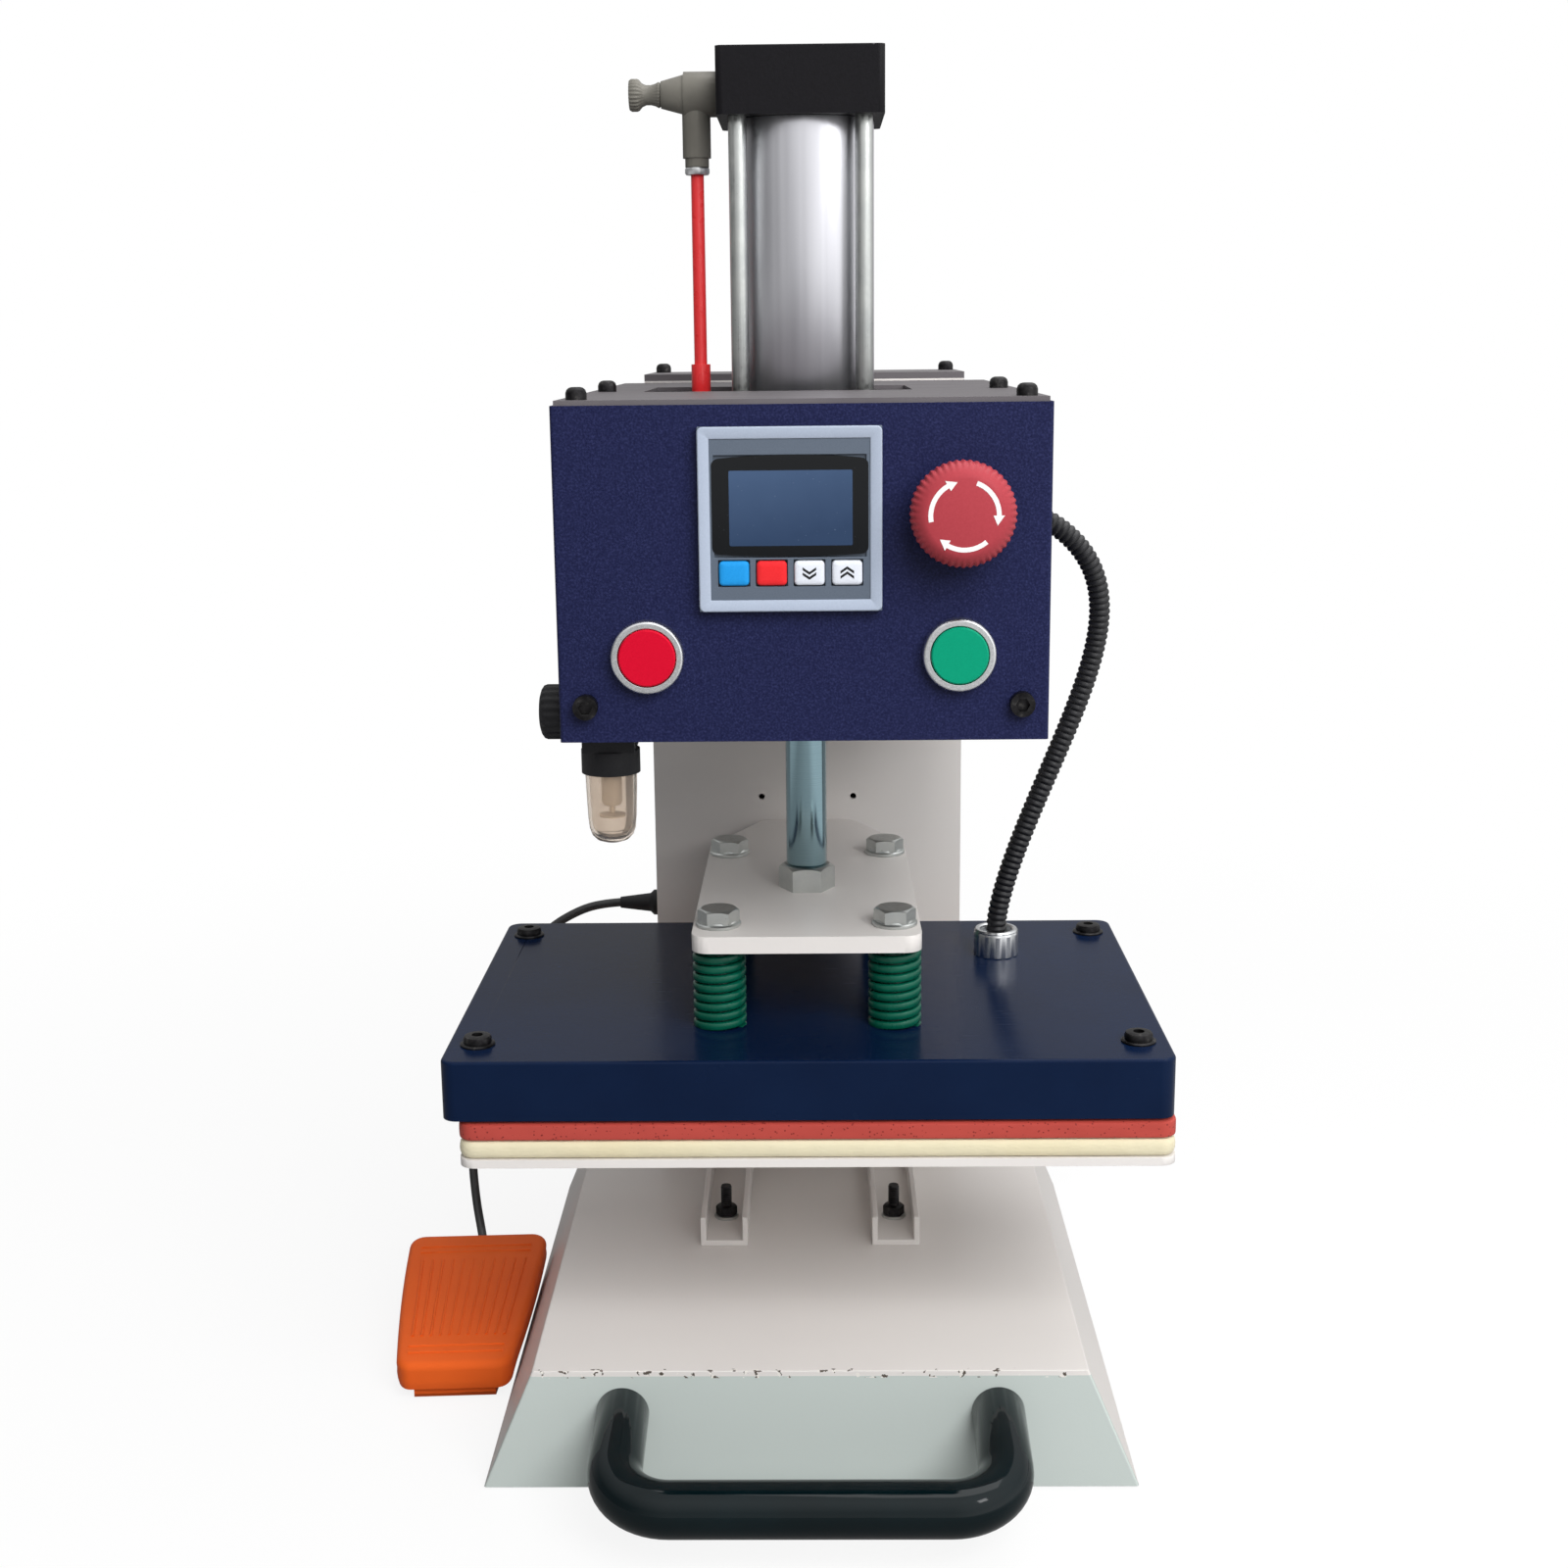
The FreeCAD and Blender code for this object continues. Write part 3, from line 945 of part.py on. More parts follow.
def conduit():
    shell, throat, neck = s.conduit_shell / 2, s.hose_bore / 2, s.conduit_neck / 2
    grip, tail = s.conduit_grip, s.conduit_tail
    well, seat = s.conduit_well / 2, grip - s.conduit_well_depth
    foot = [(throat, -tail), (neck, -tail), (neck, 0), (shell, 0), (shell, grip - 1), (shell - 1, grip), (well, grip),
            (well, seat), (throat, seat)]
    node("conduit_lower_gland", turned("conduit_lower_gland", foot, s.hose_foot_x, s.hose_foot_y, cover_top))
    # The upper gland: a flange on the head's side and a mouth that tilts down
    side = s.head_width / 2
    flange = s.conduit_flange / 2
    root = side + tail / 2
    exit_y, exit_level = s.hose_exit_y, s.hose_exit_level
    collar = turned("gland_collar", [(throat, -tail * 2), (neck, -tail * 2), (neck, 0), (flange, 0), (flange, tail), (throat, tail)],
                    side, exit_y, exit_level, "+X")
    mouth = tilted(bar("gland_mouth", s.conduit_neck, s.conduit_mouth, root, exit_y, exit_level))
    throat_cut = tilted(bar("gland_throat", s.hose_bore, s.conduit_mouth * 2, root, exit_y, exit_level))
    node("conduit_upper_gland", cut("conduit_upper_gland", fuse("gland_shell", collar, mouth), throat_cut))

    # The hose: straight out of each gland, then one smooth curve between them
    radius = s.hose_size.value / 2
    bore = s.hose_bore.value / 2
    cuff = s.hose_cuff.value
    tilt = math.radians(s.hose_tilt.value)
    leave = Vector(math.cos(tilt), 0, -math.sin(tilt))
    top = Vector(root.value, exit_y.value, exit_level.value) + leave * s.conduit_mouth.value
    foot_point = Vector(s.hose_foot_x.value, s.hose_foot_y.value, (cover_top + seat).value)
    start = top + leave * cuff
    end = foot_point + Vector(0, 0, cuff)
    drop = start.z - end.z
    bow, swing, lean = s.hose_bow.value, s.hose_swing.value, s.hose_lean.value
    curve = Part.BezierCurve()
    curve.setPoles([start, start + leave * s.hose_lead.value, start + Vector(bow, 0.15 * (end.y - start.y), -0.2 * drop),
                    end + Vector(swing, lean, 0.63 * drop), end + Vector(0, 0, 0.18 * drop), end])
    count = int(curve.length() / s.hose_pitch.value)
    spots = [(point, curve.tangent(curve.parameter(point))[0]) for point in curve.discretize(Number=count * 2 + 1)]
    step = curve.length() / (count * 2)
    valley = radius * 0.84
    def disc(centre, heading, size):
        turn = Rotation(Vector(0, 1, 0), Vector(), heading, "ZXY")
        circle = Part.Wire(Part.makeCircle(size))
        circle.Placement = Placement(centre, turn)
        return circle
    plain = [(top, leave, valley), (start, leave, valley)]
    ribbed = []
    for k, (centre, heading) in enumerate(spots[1:-1]):
        size = radius if k % 2 else valley
        ribbed += [(centre - heading * step * 0.3, heading, size), (centre + heading * step * 0.3, heading, size)]
    tail = [(end, Vector(0, 0, -1), valley), (foot_point, Vector(0, 0, -1), valley)]
    stations = plain + ribbed + tail
    outside = Part.makeLoft([disc(*station) for station in stations], True, True)
    inside_stations = plain[:1] + [(centre, heading, bore) for centre, heading in spots] + tail[1:]
    inside = Part.makeLoft([disc(centre, heading, bore) for centre, heading, size in inside_stations], True, True)
    hose = doc.addObject("Part::Feature", "conduit_hose")
    hose.Shape = outside.cut(inside)
    node("conduit_hose", hose)
    tightest = 1 / max(curve.curvature(curve.parameter(point)) for point, heading in spots)
    print("conduit hose: %.0f mm long, %d ribs, tightest bend %.0f mm" % (curve.length() + cuff * 2, count, tightest))


def air_line():
    left = -s.head_block / 2
    # Speed valve: a stub in the rear cap's port, a round body, a bonnet and a leg down to the tube
    stub = bar("valve_stub", s.valve_stub, s.stub_length, left + s.stub_length, 0, s.valve_level, "-X")
    length = s.tube_x + s.valve_beyond + left
    body = bar("valve_body", s.valve_size, length, left, 0, s.valve_level, "-X")
    drop = s.valve_drop
    leg = bar("valve_leg", s.valve_stub, drop * 0.875, -s.tube_x, 0, s.valve_level, "-Z")
    sleeve = bar("valve_sleeve", s.valve_sleeve, drop, -s.tube_x, 0, s.valve_level, "-Z")
    bonnet = doc.addObject("Part::Cone", "valve_bonnet")
    bind(bonnet, Radius1=s.valve_size * 0.44, Radius2=s.valve_size * 0.3, Height=s.bonnet_length)
    put(bonnet, left - length, 0, s.valve_level, TURN["-X"])
    bore = bar("valve_bore", s.tube_size + 0.2, drop, -s.tube_x, 0, s.valve_level - drop - 1)
    knob_seat = left - length - s.bonnet_length
    grip, reach = s.speed_knob / 2, s.speed_knob_length
    screw_hole = bar("valve_screw_hole", grip * 6 / 7 + 0.2, s.bonnet_length, knob_seat - 1, 0, s.valve_level, "+X")
    node("speed_valve_body", cut("speed_valve_body", fuse("valve_casting", stub, body, leg, sleeve, bonnet), bore, screw_hole))
    pin, waist = grip * 3 / 7, grip * 0.6
    tip = s.bonnet_length * 0.6
    knob = [(0, -tip), (pin, -tip), (pin, 0.2), (waist, 0.2), (waist, reach * 0.56), (grip, reach * 0.75), (grip, reach * 0.94),
            (grip * 0.86, reach), (0, reach)]
    node("speed_valve_knob", turned("speed_valve_knob", knob, knob_seat, 0, s.valve_level, "-X"))

    block_left = -(cheek_out - s.arm_wall - s.solenoid_gap)
    block_right = -s.tube_x + s.solenoid_right
    block_top = deck_top + s.solenoid_height
    inset = s.coil_inset
    solid = slab("solenoid_block", block_left, block_right, -s.solenoid_front, s.solenoid_back, deck_top, block_top)
    seat = bar("solenoid_seat", s.tube_size + 0.2, s.tube_seat + 1, -s.tube_x, 0, block_top - s.tube_seat)
    coil = slab("solenoid_coil", block_left + inset, block_right - inset * 1.75, s.solenoid_back,
                s.solenoid_back + s.coil_length, deck_top + inset / 2, block_top - inset / 2)
    node("solenoid_valve", cut("solenoid_valve", fuse("solenoid_body", solid, coil), seat))
    tube_low = block_top - s.tube_seat + 1
    tube_high = s.valve_level - s.valve_drop / 4
    hose = bar("air_tube_run", s.tube_size, tube_high - tube_low, -s.tube_x, 0, tube_low)
    collar = bar("air_tube_collar", s.tube_size * 1.5, s.tube_collar, -s.tube_x, 0, block_top)
    node("air_tube", fuse("air_tube", hose, collar))


def filter_unit():
    x, y = -filter_x, -s.filter_y
    collar_low = s.head_bottom - s.collar_drop
    body_low = collar_low + s.filter_collar
    block = box("filter_block", s.filter_body, s.filter_body, s.filter_height, x, y, body_low)
    neck_length = s.head_width / 2 - filter_x - s.filter_body / 2 + s.knob_gap
    neck = bar("regulator_neck", s.knob_neck, neck_length, x - s.filter_body / 2, y, knob_level, "-X")
    collar = bar("bowl_collar", s.bowl_size + s.bowl_wall * 2, s.filter_collar, x, y, collar_low)
    cavity = bar("filter_cavity", s.bowl_size - s.bowl_wall * 4, s.filter_collar, x, y, collar_low - 1)
    # The supply port faces the open side below the head
    inlet = bar("air_inlet", s.supply_bore, s.supply_depth + 1, x + s.filter_body / 2 + 1, y, body_low + s.supply_rise, "-X")
    pin_depth = s.knob_length / 2
    pin_hole = bar("regulator_hole", s.knob_pin + 0.1, pin_depth + 4, x - s.filter_body / 2 - neck_length - 1, y, knob_level, "+X")
    node("filter_regulator", cut("filter_regulator", fuse("filter_casting", block, neck, collar), cavity, inlet, pin_hole))
    r, wall, deep = s.bowl_size / 2, s.bowl_wall, -s.bowl_length
    narrow, drain = r * 0.76, r * 0.36
    bowl = [(r - wall, 0), (r, 0), (narrow, deep * 0.83), (r * 0.55, deep * 0.95), (drain, deep * 0.97), (drain * 0.75, deep * 1.03),
            (0, deep * 1.03), (0, deep * 0.9), (r * 0.45, deep * 0.89), (narrow - wall, deep * 0.8)]
    node("filter_bowl", turned("filter_bowl", bowl, x, y, collar_low))
    k, pin, reach = s.knob_size / 2, s.knob_pin / 2, s.knob_length
    knob = [(0, -pin_depth), (pin, -pin_depth), (pin, s.fit), (k * 0.92, s.fit), (k, reach * 0.12), (k, reach * 0.75),
            (k * 0.9, reach * 0.92), (k * 0.67, reach), (0, reach)]
    node("regulator_knob", turned("regulator_knob", knob, -s.head_width / 2 - s.knob_gap, y, knob_level, "-X"))


def tapered(name, heel, toe, heel_low, toe_low, heel_top, toe_top, half):
    # A block that narrows and drops from the pedal's heel to its toe, in the pedal's own frame
    thing = doc.addObject("Part::Wedge", name)
    bind(thing, Ymin=-half, Ymax=half, Xmin=-heel / 2, Xmax=heel / 2, X2min=-toe / 2, X2max=toe / 2)
    bind(thing, Zmin=heel_low, Zmax=heel_top, Z2min=toe_low, Z2max=toe_top)
    return put(thing, 0, 0, 0, Rotation(Vector(0, 0, 1), 180))


def on_floor(thing):
    # Sets a pedal piece at its place beside the base
    put(thing, -s.pedal_x, s.pedal_y, 0, Rotation(Vector(0, 0, 1), s.pedal_yaw.value))
    thing.setExpression("Placement.Rotation.Angle", s.pedal_yaw.text)
    return thing


def pedal():
    half = s.pedal_length / 2
    skin, gap, low, toe_low = s.pedal_skin, s.pedal_gap, s.pedal_low, s.pedal_toe_low
    toe_top = s.pedal_toe_height
    outside = tapered("tread_outside", s.pedal_heel, s.pedal_toe, low, toe_low, s.pedal_height, toe_top, half)
    soft = rounded("tread_soft", outside, s.pedal_corner, upright)
    inside = tapered("tread_inside", s.pedal_heel - skin * 2, s.pedal_toe - skin * 2, low - skin, toe_low - skin,
                     s.pedal_height - skin, toe_top - skin, half - skin)
    pin_y, pin_z = half - s.pedal_pin_inset, s.pedal_pin_level
    pin_size = s.pedal_pin
    pin_span = s.pedal_heel - s.pedal_skin * 1.2
    pin_bore = bar("tread_bore", pin_size + 0.15, s.pedal_heel * 2, -s.pedal_heel, pin_y, pin_z, "+X")
    notch = slab("tread_notch", -s.pedal_notch / 2, s.pedal_notch / 2, half - skin - 1, half + 1, low - skin, s.pedal_notch_top)
    tread = cut("tread", soft, inside, pin_bore, notch)
    node("pedal_tread", on_floor(tread))
    room = s.plinth_inset * 2
    plinth = tapered("pedal_plinth", s.pedal_heel - room, s.pedal_toe - room, 0, 0, s.plinth_heel, s.plinth_toe,
                     half - skin - gap)
    boss = bar("pedal_boss", s.pedal_boss, s.pedal_boss_length, 0, half - skin - gap - 2, s.pedal_boss_level, "+Y")
    hole = bar("pedal_pin_hole", pin_size, s.pedal_heel * 2, -s.pedal_heel, pin_y, pin_z, "+X")
    node("pedal_base", on_floor(cut("pedal_base", fuse("pedal_casting", plinth, boss), hole)))
    pin = bar("pedal_pin_bar", pin_size, pin_span, -pin_span / 2, pin_y, pin_z, "+X")
    node("pedal_pin", on_floor(group("pedal_pin", pin)))


# The pedal lead: points chosen by hand from the column gland to the pedal boss
CORD_ROUTE = (
    (-112, 190, 203), (-124, 190, 202.2), (-138, 189, 198), (-155, 188, 188), (-171, 185, 171), (-184, 181, 150),
    (-193, 176, 126), (-199, 170, 101), (-202, 163, 76), (-201.5, 155, 52), (-198.5, 146, 31), (-194.5, 136, 18.5),
    (-190.95, 122.88, 13), (-190.3, 110.4, 13))


def cord():
    x = -s.column_width / 2
    gland_y = s.column_front + s.cord_exit_y
    thread = s.gland_thread / 2
    flange, tip = thread + 2.5, s.cord_size / 2 + 0.8
    taper = [(0, -s.column_wall * 2), (thread, -s.column_wall * 2), (thread, 0), (flange, 0), (flange, 5),
             (thread + 0.5, 7), (tip, s.gland_length), (0, s.gland_length)]
    node("cord_gland", turned("cord_gland", taper, x, gland_y, s.cord_exit_level, "-X"))
    points = [Vector(*point) for point in CORD_ROUTE]
    radius = s.cord_size.value / 2
    tube = doc.addObject("Part::Feature", "pedal_cord")
    tube.Shape = cord_tube(points, radius)
    node("pedal_cord", tube)


def cord_tube(points, radius):
    # Straight runs joined by arcs as large as the runs allow
    edges = []
    radii = []
    last = points[0]
    for before, corner, after in zip(points, points[1:], points[2:]):
        into = corner - before
        out = after - corner
        turn = into.getAngle(out)
        bend = 0.45 * min(into.Length, out.Length) / math.tan(turn / 2)
        reach = bend * math.tan(turn / 2)
        start = corner - into.normalize() * reach
        end = corner + out.normalize() * reach
        edges.append(Part.LineSegment(last, start).toShape())
        edges.append(round_arc(start, corner, end))
        radii.append(round(bend))
        last = end
    edges.append(Part.LineSegment(last, points[-1]).toShape())
    path = Part.Wire(edges)
    section = Part.Wire(Part.makeCircle(radius, points[0], points[1] - points[0]))
    tube = path.makePipeShell([section], True, False)
    full = math.pi * radius ** 2 * path.Length
    print("pedal cord: %.0f mm long, bend radii %s, volume over section times length %.4f" % (
        path.Length, radii, tube.Volume / full))
    return tube


for make in (base, handle, column, stand, bed, head, controller, buttons, cylinder, ram, platen, conduit, air_line,
             filter_unit, pedal, cord):
    make()
doc.recompute()
broken = [item.Name for item in doc.Objects if {"Invalid", "Error"} & set(item.State)]
broken += [item.Label for item in nodes if item.Shape.isNull() or not item.Shape.isValid()]
if broken:
    raise RuntimeError("failed pieces: " + ", ".join(broken))
os.makedirs("parts", exist_ok=True)
for item in nodes:
    item.Shape.exportStep(os.path.join("parts", item.Label + ".step"))
print("nodes:", len(nodes))
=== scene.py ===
import json
import math
import bmesh
import bpy
import numpy as np
from mathutils import Matrix, Vector


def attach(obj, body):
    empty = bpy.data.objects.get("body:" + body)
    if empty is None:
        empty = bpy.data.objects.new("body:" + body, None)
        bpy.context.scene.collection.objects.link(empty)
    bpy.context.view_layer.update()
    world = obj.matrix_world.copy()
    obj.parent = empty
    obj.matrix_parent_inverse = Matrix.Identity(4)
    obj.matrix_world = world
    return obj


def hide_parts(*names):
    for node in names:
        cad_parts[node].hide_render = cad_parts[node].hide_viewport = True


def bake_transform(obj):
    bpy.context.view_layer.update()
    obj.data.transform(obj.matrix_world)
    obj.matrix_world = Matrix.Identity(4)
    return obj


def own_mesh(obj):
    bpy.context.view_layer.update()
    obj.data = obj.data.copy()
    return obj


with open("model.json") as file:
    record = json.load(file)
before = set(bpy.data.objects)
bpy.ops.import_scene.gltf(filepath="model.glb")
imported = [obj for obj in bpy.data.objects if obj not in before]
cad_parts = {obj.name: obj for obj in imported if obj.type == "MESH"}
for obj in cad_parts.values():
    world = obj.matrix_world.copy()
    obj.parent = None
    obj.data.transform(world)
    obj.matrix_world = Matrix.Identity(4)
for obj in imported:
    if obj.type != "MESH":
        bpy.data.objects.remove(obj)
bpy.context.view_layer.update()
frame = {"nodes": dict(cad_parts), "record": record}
scene = bpy.context.scene
scene.view_settings.view_transform = "Standard"
print("frame loaded:", len(frame["nodes"]), "nodes")

# Shapes below are in millimetres in the CAD frame; the camera, finishes, studio and joint points are in metres
metre = 0.001

cameraFit = {"place": (0.0044, -0.9747, 0.5306), "pitch": 12.4, "yaw": 0.9, "roll": -0.6, "lens": 46.55}


def setCamera(fit):
    # axes of the view from a yaw about Z, a pitch below the horizon and a roll about the line of sight
    pitch, yaw, roll = (math.radians(fit[key]) for key in ("pitch", "yaw", "roll"))
    right = Vector((math.cos(yaw), math.sin(yaw), 0))
    ahead = Vector((-math.sin(yaw) * math.cos(pitch), math.cos(yaw) * math.cos(pitch), -math.sin(pitch)))
    down = ahead.cross(right)
    level = right * math.cos(roll) - down * math.sin(roll)
    plumb = right * math.sin(roll) + down * math.cos(roll)
    camera = bpy.data.objects.new("camera", bpy.data.cameras.new("camera"))
    camera.data.lens = fit["lens"]
    stand = Matrix((level, -plumb, -ahead)).transposed().to_4x4()
    stand.translation = fit["place"]
    camera.matrix_world = stand
    scene.collection.objects.link(camera)
    scene.camera = camera


setCamera(cameraFit)


class Wire:
    # a shader socket whose plain arithmetic adds Math nodes
    def __init__(self, finish, socket):
        self.finish = finish
        self.socket = socket

    def math(self, operation, first, second):
        return self.finish.node("Math", {"operation": operation}, {0: first, 1: second})

    def __add__(self, other):
        return self.math("ADD", self, other)

    def __sub__(self, other):
        return self.math("SUBTRACT", self, other)

    def __rsub__(self, other):
        return self.math("SUBTRACT", other, self)

    def __mul__(self, other):
        return self.math("MULTIPLY", self, other)

    def __gt__(self, other):
        return self.math("GREATER_THAN", self, other)

    def __lt__(self, other):
        return self.math("LESS_THAN", self, other)

    __radd__ = __add__
    __rmul__ = __mul__


def tone(red, green, blue):
    # an sRGB colour of 0 to 255 as linear light
    level = np.array([red, green, blue]) / 255
    light = np.where(level > 0.04045, ((level + 0.055) / 1.055) ** 2.4, level / 12.92)
    return (*light.tolist(), 1.0)


def grey(level):
    return (level, level, level, 1.0)


class Finish:
    # a material, or any other node tree, with one method for adding nodes
    def __init__(self, name, tree=None, gloss=0.5, **constants):
        if tree is None:
            self.material = bpy.data.materials.new(name)
            self.material.use_nodes = True
            tree = self.material.node_tree
        self.tree = tree
        self.shader = tree.nodes.get("Principled BSDF")
        if self.shader:
            self.set("Specular IOR Level", gloss)
        for key, value in constants.items():
            self.set(key.replace("_", " "), value)

    def feed(self, socket, value):
        if isinstance(value, Wire):
            self.tree.links.new(value.socket, socket)
        else:
            socket.default_value = value

    def node(self, kind, settings=None, sockets=None, out=0):
        made = self.tree.nodes.new("ShaderNode" + kind)
        for key, value in (settings or {}).items():
            if key == "stops":
                fillRamp(made.color_ramp, value)
            else:
                setattr(made, key, value)
        for key, value in (sockets or {}).items():
            self.feed(made.inputs[key], value)
        return Wire(self, made.outputs[out])

    def set(self, name, value):
        self.feed(self.shader.inputs[name], value)

    def place(self, scale=(1, 1, 1)):
        spot = self.node("TexCoord", out="Object")
        return self.node("Mapping", {}, {"Vector": spot, "Scale": scale})

    def noise(self, scale, detail=2, stretch=(1, 1, 1)):
        return self.node("TexNoise", {}, {"Vector": self.place(stretch), "Scale": scale, "Detail": detail})

    def cells(self, scale):
        return self.node("TexVoronoi", {}, {"Vector": self.place(), "Scale": scale})

    def axis(self, name):
        spot = self.node("TexCoord", out="Object")
        return self.node("SeparateXYZ", {}, {0: spot}, out=name)

    def blend(self, factor, first, second):
        return self.node("Mix", {"data_type": "RGBA"}, {0: factor, 6: first, 7: second}, out=2)

    def ramp(self, factor, *stops):
        return self.node("ValToRGB", {"stops": stops}, {0: factor})

    def greyRamp(self, factor, stops):
        return self.ramp(factor, *((spot, grey(level)) for spot, level in stops))

    def done(self, colour, rough, relief=None):
        self.set("Base Color", colour)
        self.set("Roughness", rough)
        if relief:
            bump = dict(zip(("Height", "Strength", "Distance"), relief))
            self.set("Normal", self.node("Bump", {}, bump))
        return self.material


def fillRamp(ramp, stops):
    while len(ramp.elements) < len(stops):
        ramp.elements.new(1.0)
    for element, (position, colour) in zip(ramp.elements, stops):
        element.position = position
        element.color = colour


def grainCoat(name, tones, grain, rough, relief, bumps=None, sandy=False, **constants):
    # a noise mixes two tones or runs through stops; roughness and relief follow it or the bumps' own noise
    coat = Finish(name, **constants)
    cloud = coat.noise(*grain)
    rise = coat.noise(*bumps) if bumps else cloud
    if len(tones) == 2:
        colour = coat.blend(cloud, *(tone(*shade) for shade in tones))
    else:
        colour = coat.ramp(cloud, *((spot, tone(*shade)) for spot, *shade in tones))
    least, gain = rough
    return coat.done(colour, least + gain * (rise if sandy else cloud), (rise, *relief))


# The pedal's lead, with the route that the CAD tube follows and a black jacket of fine grain
pedalLead = {
    "route": ((-112, 190, 203), (-124, 190, 202.2), (-138, 189, 198), (-155, 188, 188), (-171, 185, 171),
              (-184, 181, 150), (-193, 176, 126), (-199, 170, 101), (-202, 163, 76), (-201.5, 155, 52),
              (-198.5, 146, 31), (-194.5, 136, 18.5), (-190.95, 122.88, 13), (-190.3, 110.4, 13)),
    "diameter": 5, "length": 265, "round": 8, "smooth": 12, "order": 3,
    "coat": {"tones": ((24, 25, 27), (46, 46, 48)), "grain": (260, 3), "rough": (0.34, 0.2),
             "relief": (0.12, 0.0002), "bumps": (900, 2)}}


def makeLead(facts):
    route = facts["route"]
    curve = bpy.data.curves.new("pedalLead", "CURVE")
    curve.dimensions = "3D"
    curve.bevel_depth = facts["diameter"] / 2 * metre
    curve.bevel_resolution = facts["round"]
    curve.resolution_u = facts["smooth"]
    curve.use_fill_caps = True
    spline = curve.splines.new("NURBS")
    spline.points.add(len(route) - 1)
    for point, spot in zip(spline.points, route):
        point.co = (*(Vector(spot) * metre), 1)
    spline.order_u = facts["order"]
    spline.use_endpoint_u = True
    lead = bpy.data.objects.new("pedalLead", curve)
    scene.collection.objects.link(lead)
    curve.materials.append(grainCoat("cordJacket", **facts["coat"]))
    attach(lead, "frame")
    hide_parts("pedal_cord")


makeLead(pedalLead)
print("camera and lead set")

# Finishes made by grainCoat, by material slot
grainCoats = {
    # mid-grey lid: satin paint with dust and light rubbing
    "lid_grey": {"name": "lidGrey", "tones": ((90, 86, 89), (110, 106, 109)), "grain": (34, 4),
        "rough": (0.34, 0.2), "relief": (0.08, 0.0003), "bumps": (500, 1), "gloss": 0.12},
    # dipped black handle grip: high gloss with slight waves; its black carries a painted blue-green reflection
    # tint
    "black_gloss": {"name": "blackGloss", "tones": ((2, 13, 16), (6, 22, 26)), "grain": (45, 2),
        "rough": (0.05, 0.06), "relief": (0.06, 0.001), "bumps": (90, 1), "gloss": 0.22},
    # moulded black plastic with a fine spark grain
    "black_plastic": {"name": "blackPlastic", "tones": ((20, 20, 22), (38, 38, 41)), "grain": (1500, 2),
        "rough": (0.42, 0.2), "relief": (0.2, 0.0002), "gloss": 0.25},
    # ground and chromed rod: a cool blue-green tint that is a painted reflection, and hair-fine grinding lines
    "rod": {"name": "chromeRod", "tones": ((112, 142, 152), (158, 184, 192)), "grain": (4, 2, (1, 1, 700)),
        "rough": (0.1, 0.08), "relief": (0.03, 0.00005), "Metallic": 1.0},
    # bare machined aluminium of the heating plate, faintly browned by heat
    "heater": {"name": "castHeater", "tones": ((150, 146, 138), (196, 192, 184)), "grain": (6, 3, (1, 90, 1)),
        "rough": (0.32, 0.2), "relief": (0.08, 0.0002), "Metallic": 1.0},
    # dipped green paint on spring wire: glossy, with an uneven depth of colour
    "spring": {"name": "springGreen", "tones": ((0, 66, 50), (4, 96, 74)), "grain": (150, 3),
        "rough": (0.2, 0.16), "relief": (0.1, 0.0003), "bumps": (420, 2), "gloss": 0.35},
    # turned satin metal with a fine drawn-out grain
    "satin_ring": {"name": "satinRing", "tones": ((206, 208, 210), (236, 237, 238)),
        "grain": (1300, 1, (1, 3, 1)), "rough": (0.24, 0.14), "relief": (0.05, 0.0001), "Metallic": 1.0},
    # polyurethane air tube: waxy red
    "tube_red": {"name": "tubeRed", "tones": ((218, 34, 38), (230, 54, 56)), "grain": (110, 2),
        "rough": (0.22, 0.14), "relief": (0.04, 0.0003), "bumps": (300, 1), "Subsurface_Weight": 0.1},
    # clear bowl with a brown-grey tint and a slightly uneven skin
    "smoked": {"name": "smokedBowl", "tones": ((212, 200, 188), (232, 223, 213)), "grain": (120, 3),
        "rough": (0.04, 0.08), "relief": (0.05, 0.0003), "bumps": (220, 2), "Transmission_Weight": 0.92,
        "IOR": 1.25},
    # textured navy powder coat: fine grain whose crests are painted paler, as painted highlights
    "navy_coat": {"name": "navyCoat", "tones": ((0.3, 20, 23, 55), (0.52, 29, 33, 67), (0.75, 44, 48, 86)),
        "grain": (1150, 3), "rough": (0.3, 0.25), "relief": (0.4, 0.0003), "gloss": 0.12},
    # oil-blacked screws: brown-black with bare rubbed spots
    "dark_steel": {"name": "darkSteel", "tones": ((0.35, 26, 25, 27), (0.62, 48, 47, 48), (0.8, 92, 90, 88)),
        "grain": (320, 4), "rough": (0.3, 0.22), "relief": (0.12, 0.0002), "Metallic": 0.85},
    # die-cast grey valve body: sandy, slightly stained
    "valve_grey": {"name": "valveGrey", "tones": ((96, 94, 88), (132, 129, 121)), "grain": (60, 3),
        "rough": (0.38, 0.2), "relief": (0.18, 0.0003), "bumps": (650, 3), "sandy": True,
        "Metallic": 0.2, "gloss": 0.3},
    # cream heat felt: soft fibres and uneven yellowing
    "foam": {"name": "foamCream", "tones": ((228, 222, 197), (222, 208, 168)), "grain": (14, 3),
        "rough": (0.75, 0.2), "relief": (0.35, 0.0006), "bumps": (420, 5, (1, 1, 2.5)), "sandy": True,
        "Sheen_Weight": 0.2},
    # corrugated nylon conduit: satin black with slight clouding
    "hose": {"name": "hoseBlack", "tones": ((18, 18, 20), (36, 36, 39)), "grain": (240, 3),
        "rough": (0.3, 0.2), "relief": (0.1, 0.0002), "bumps": (800, 2), "gloss": 0.4}}
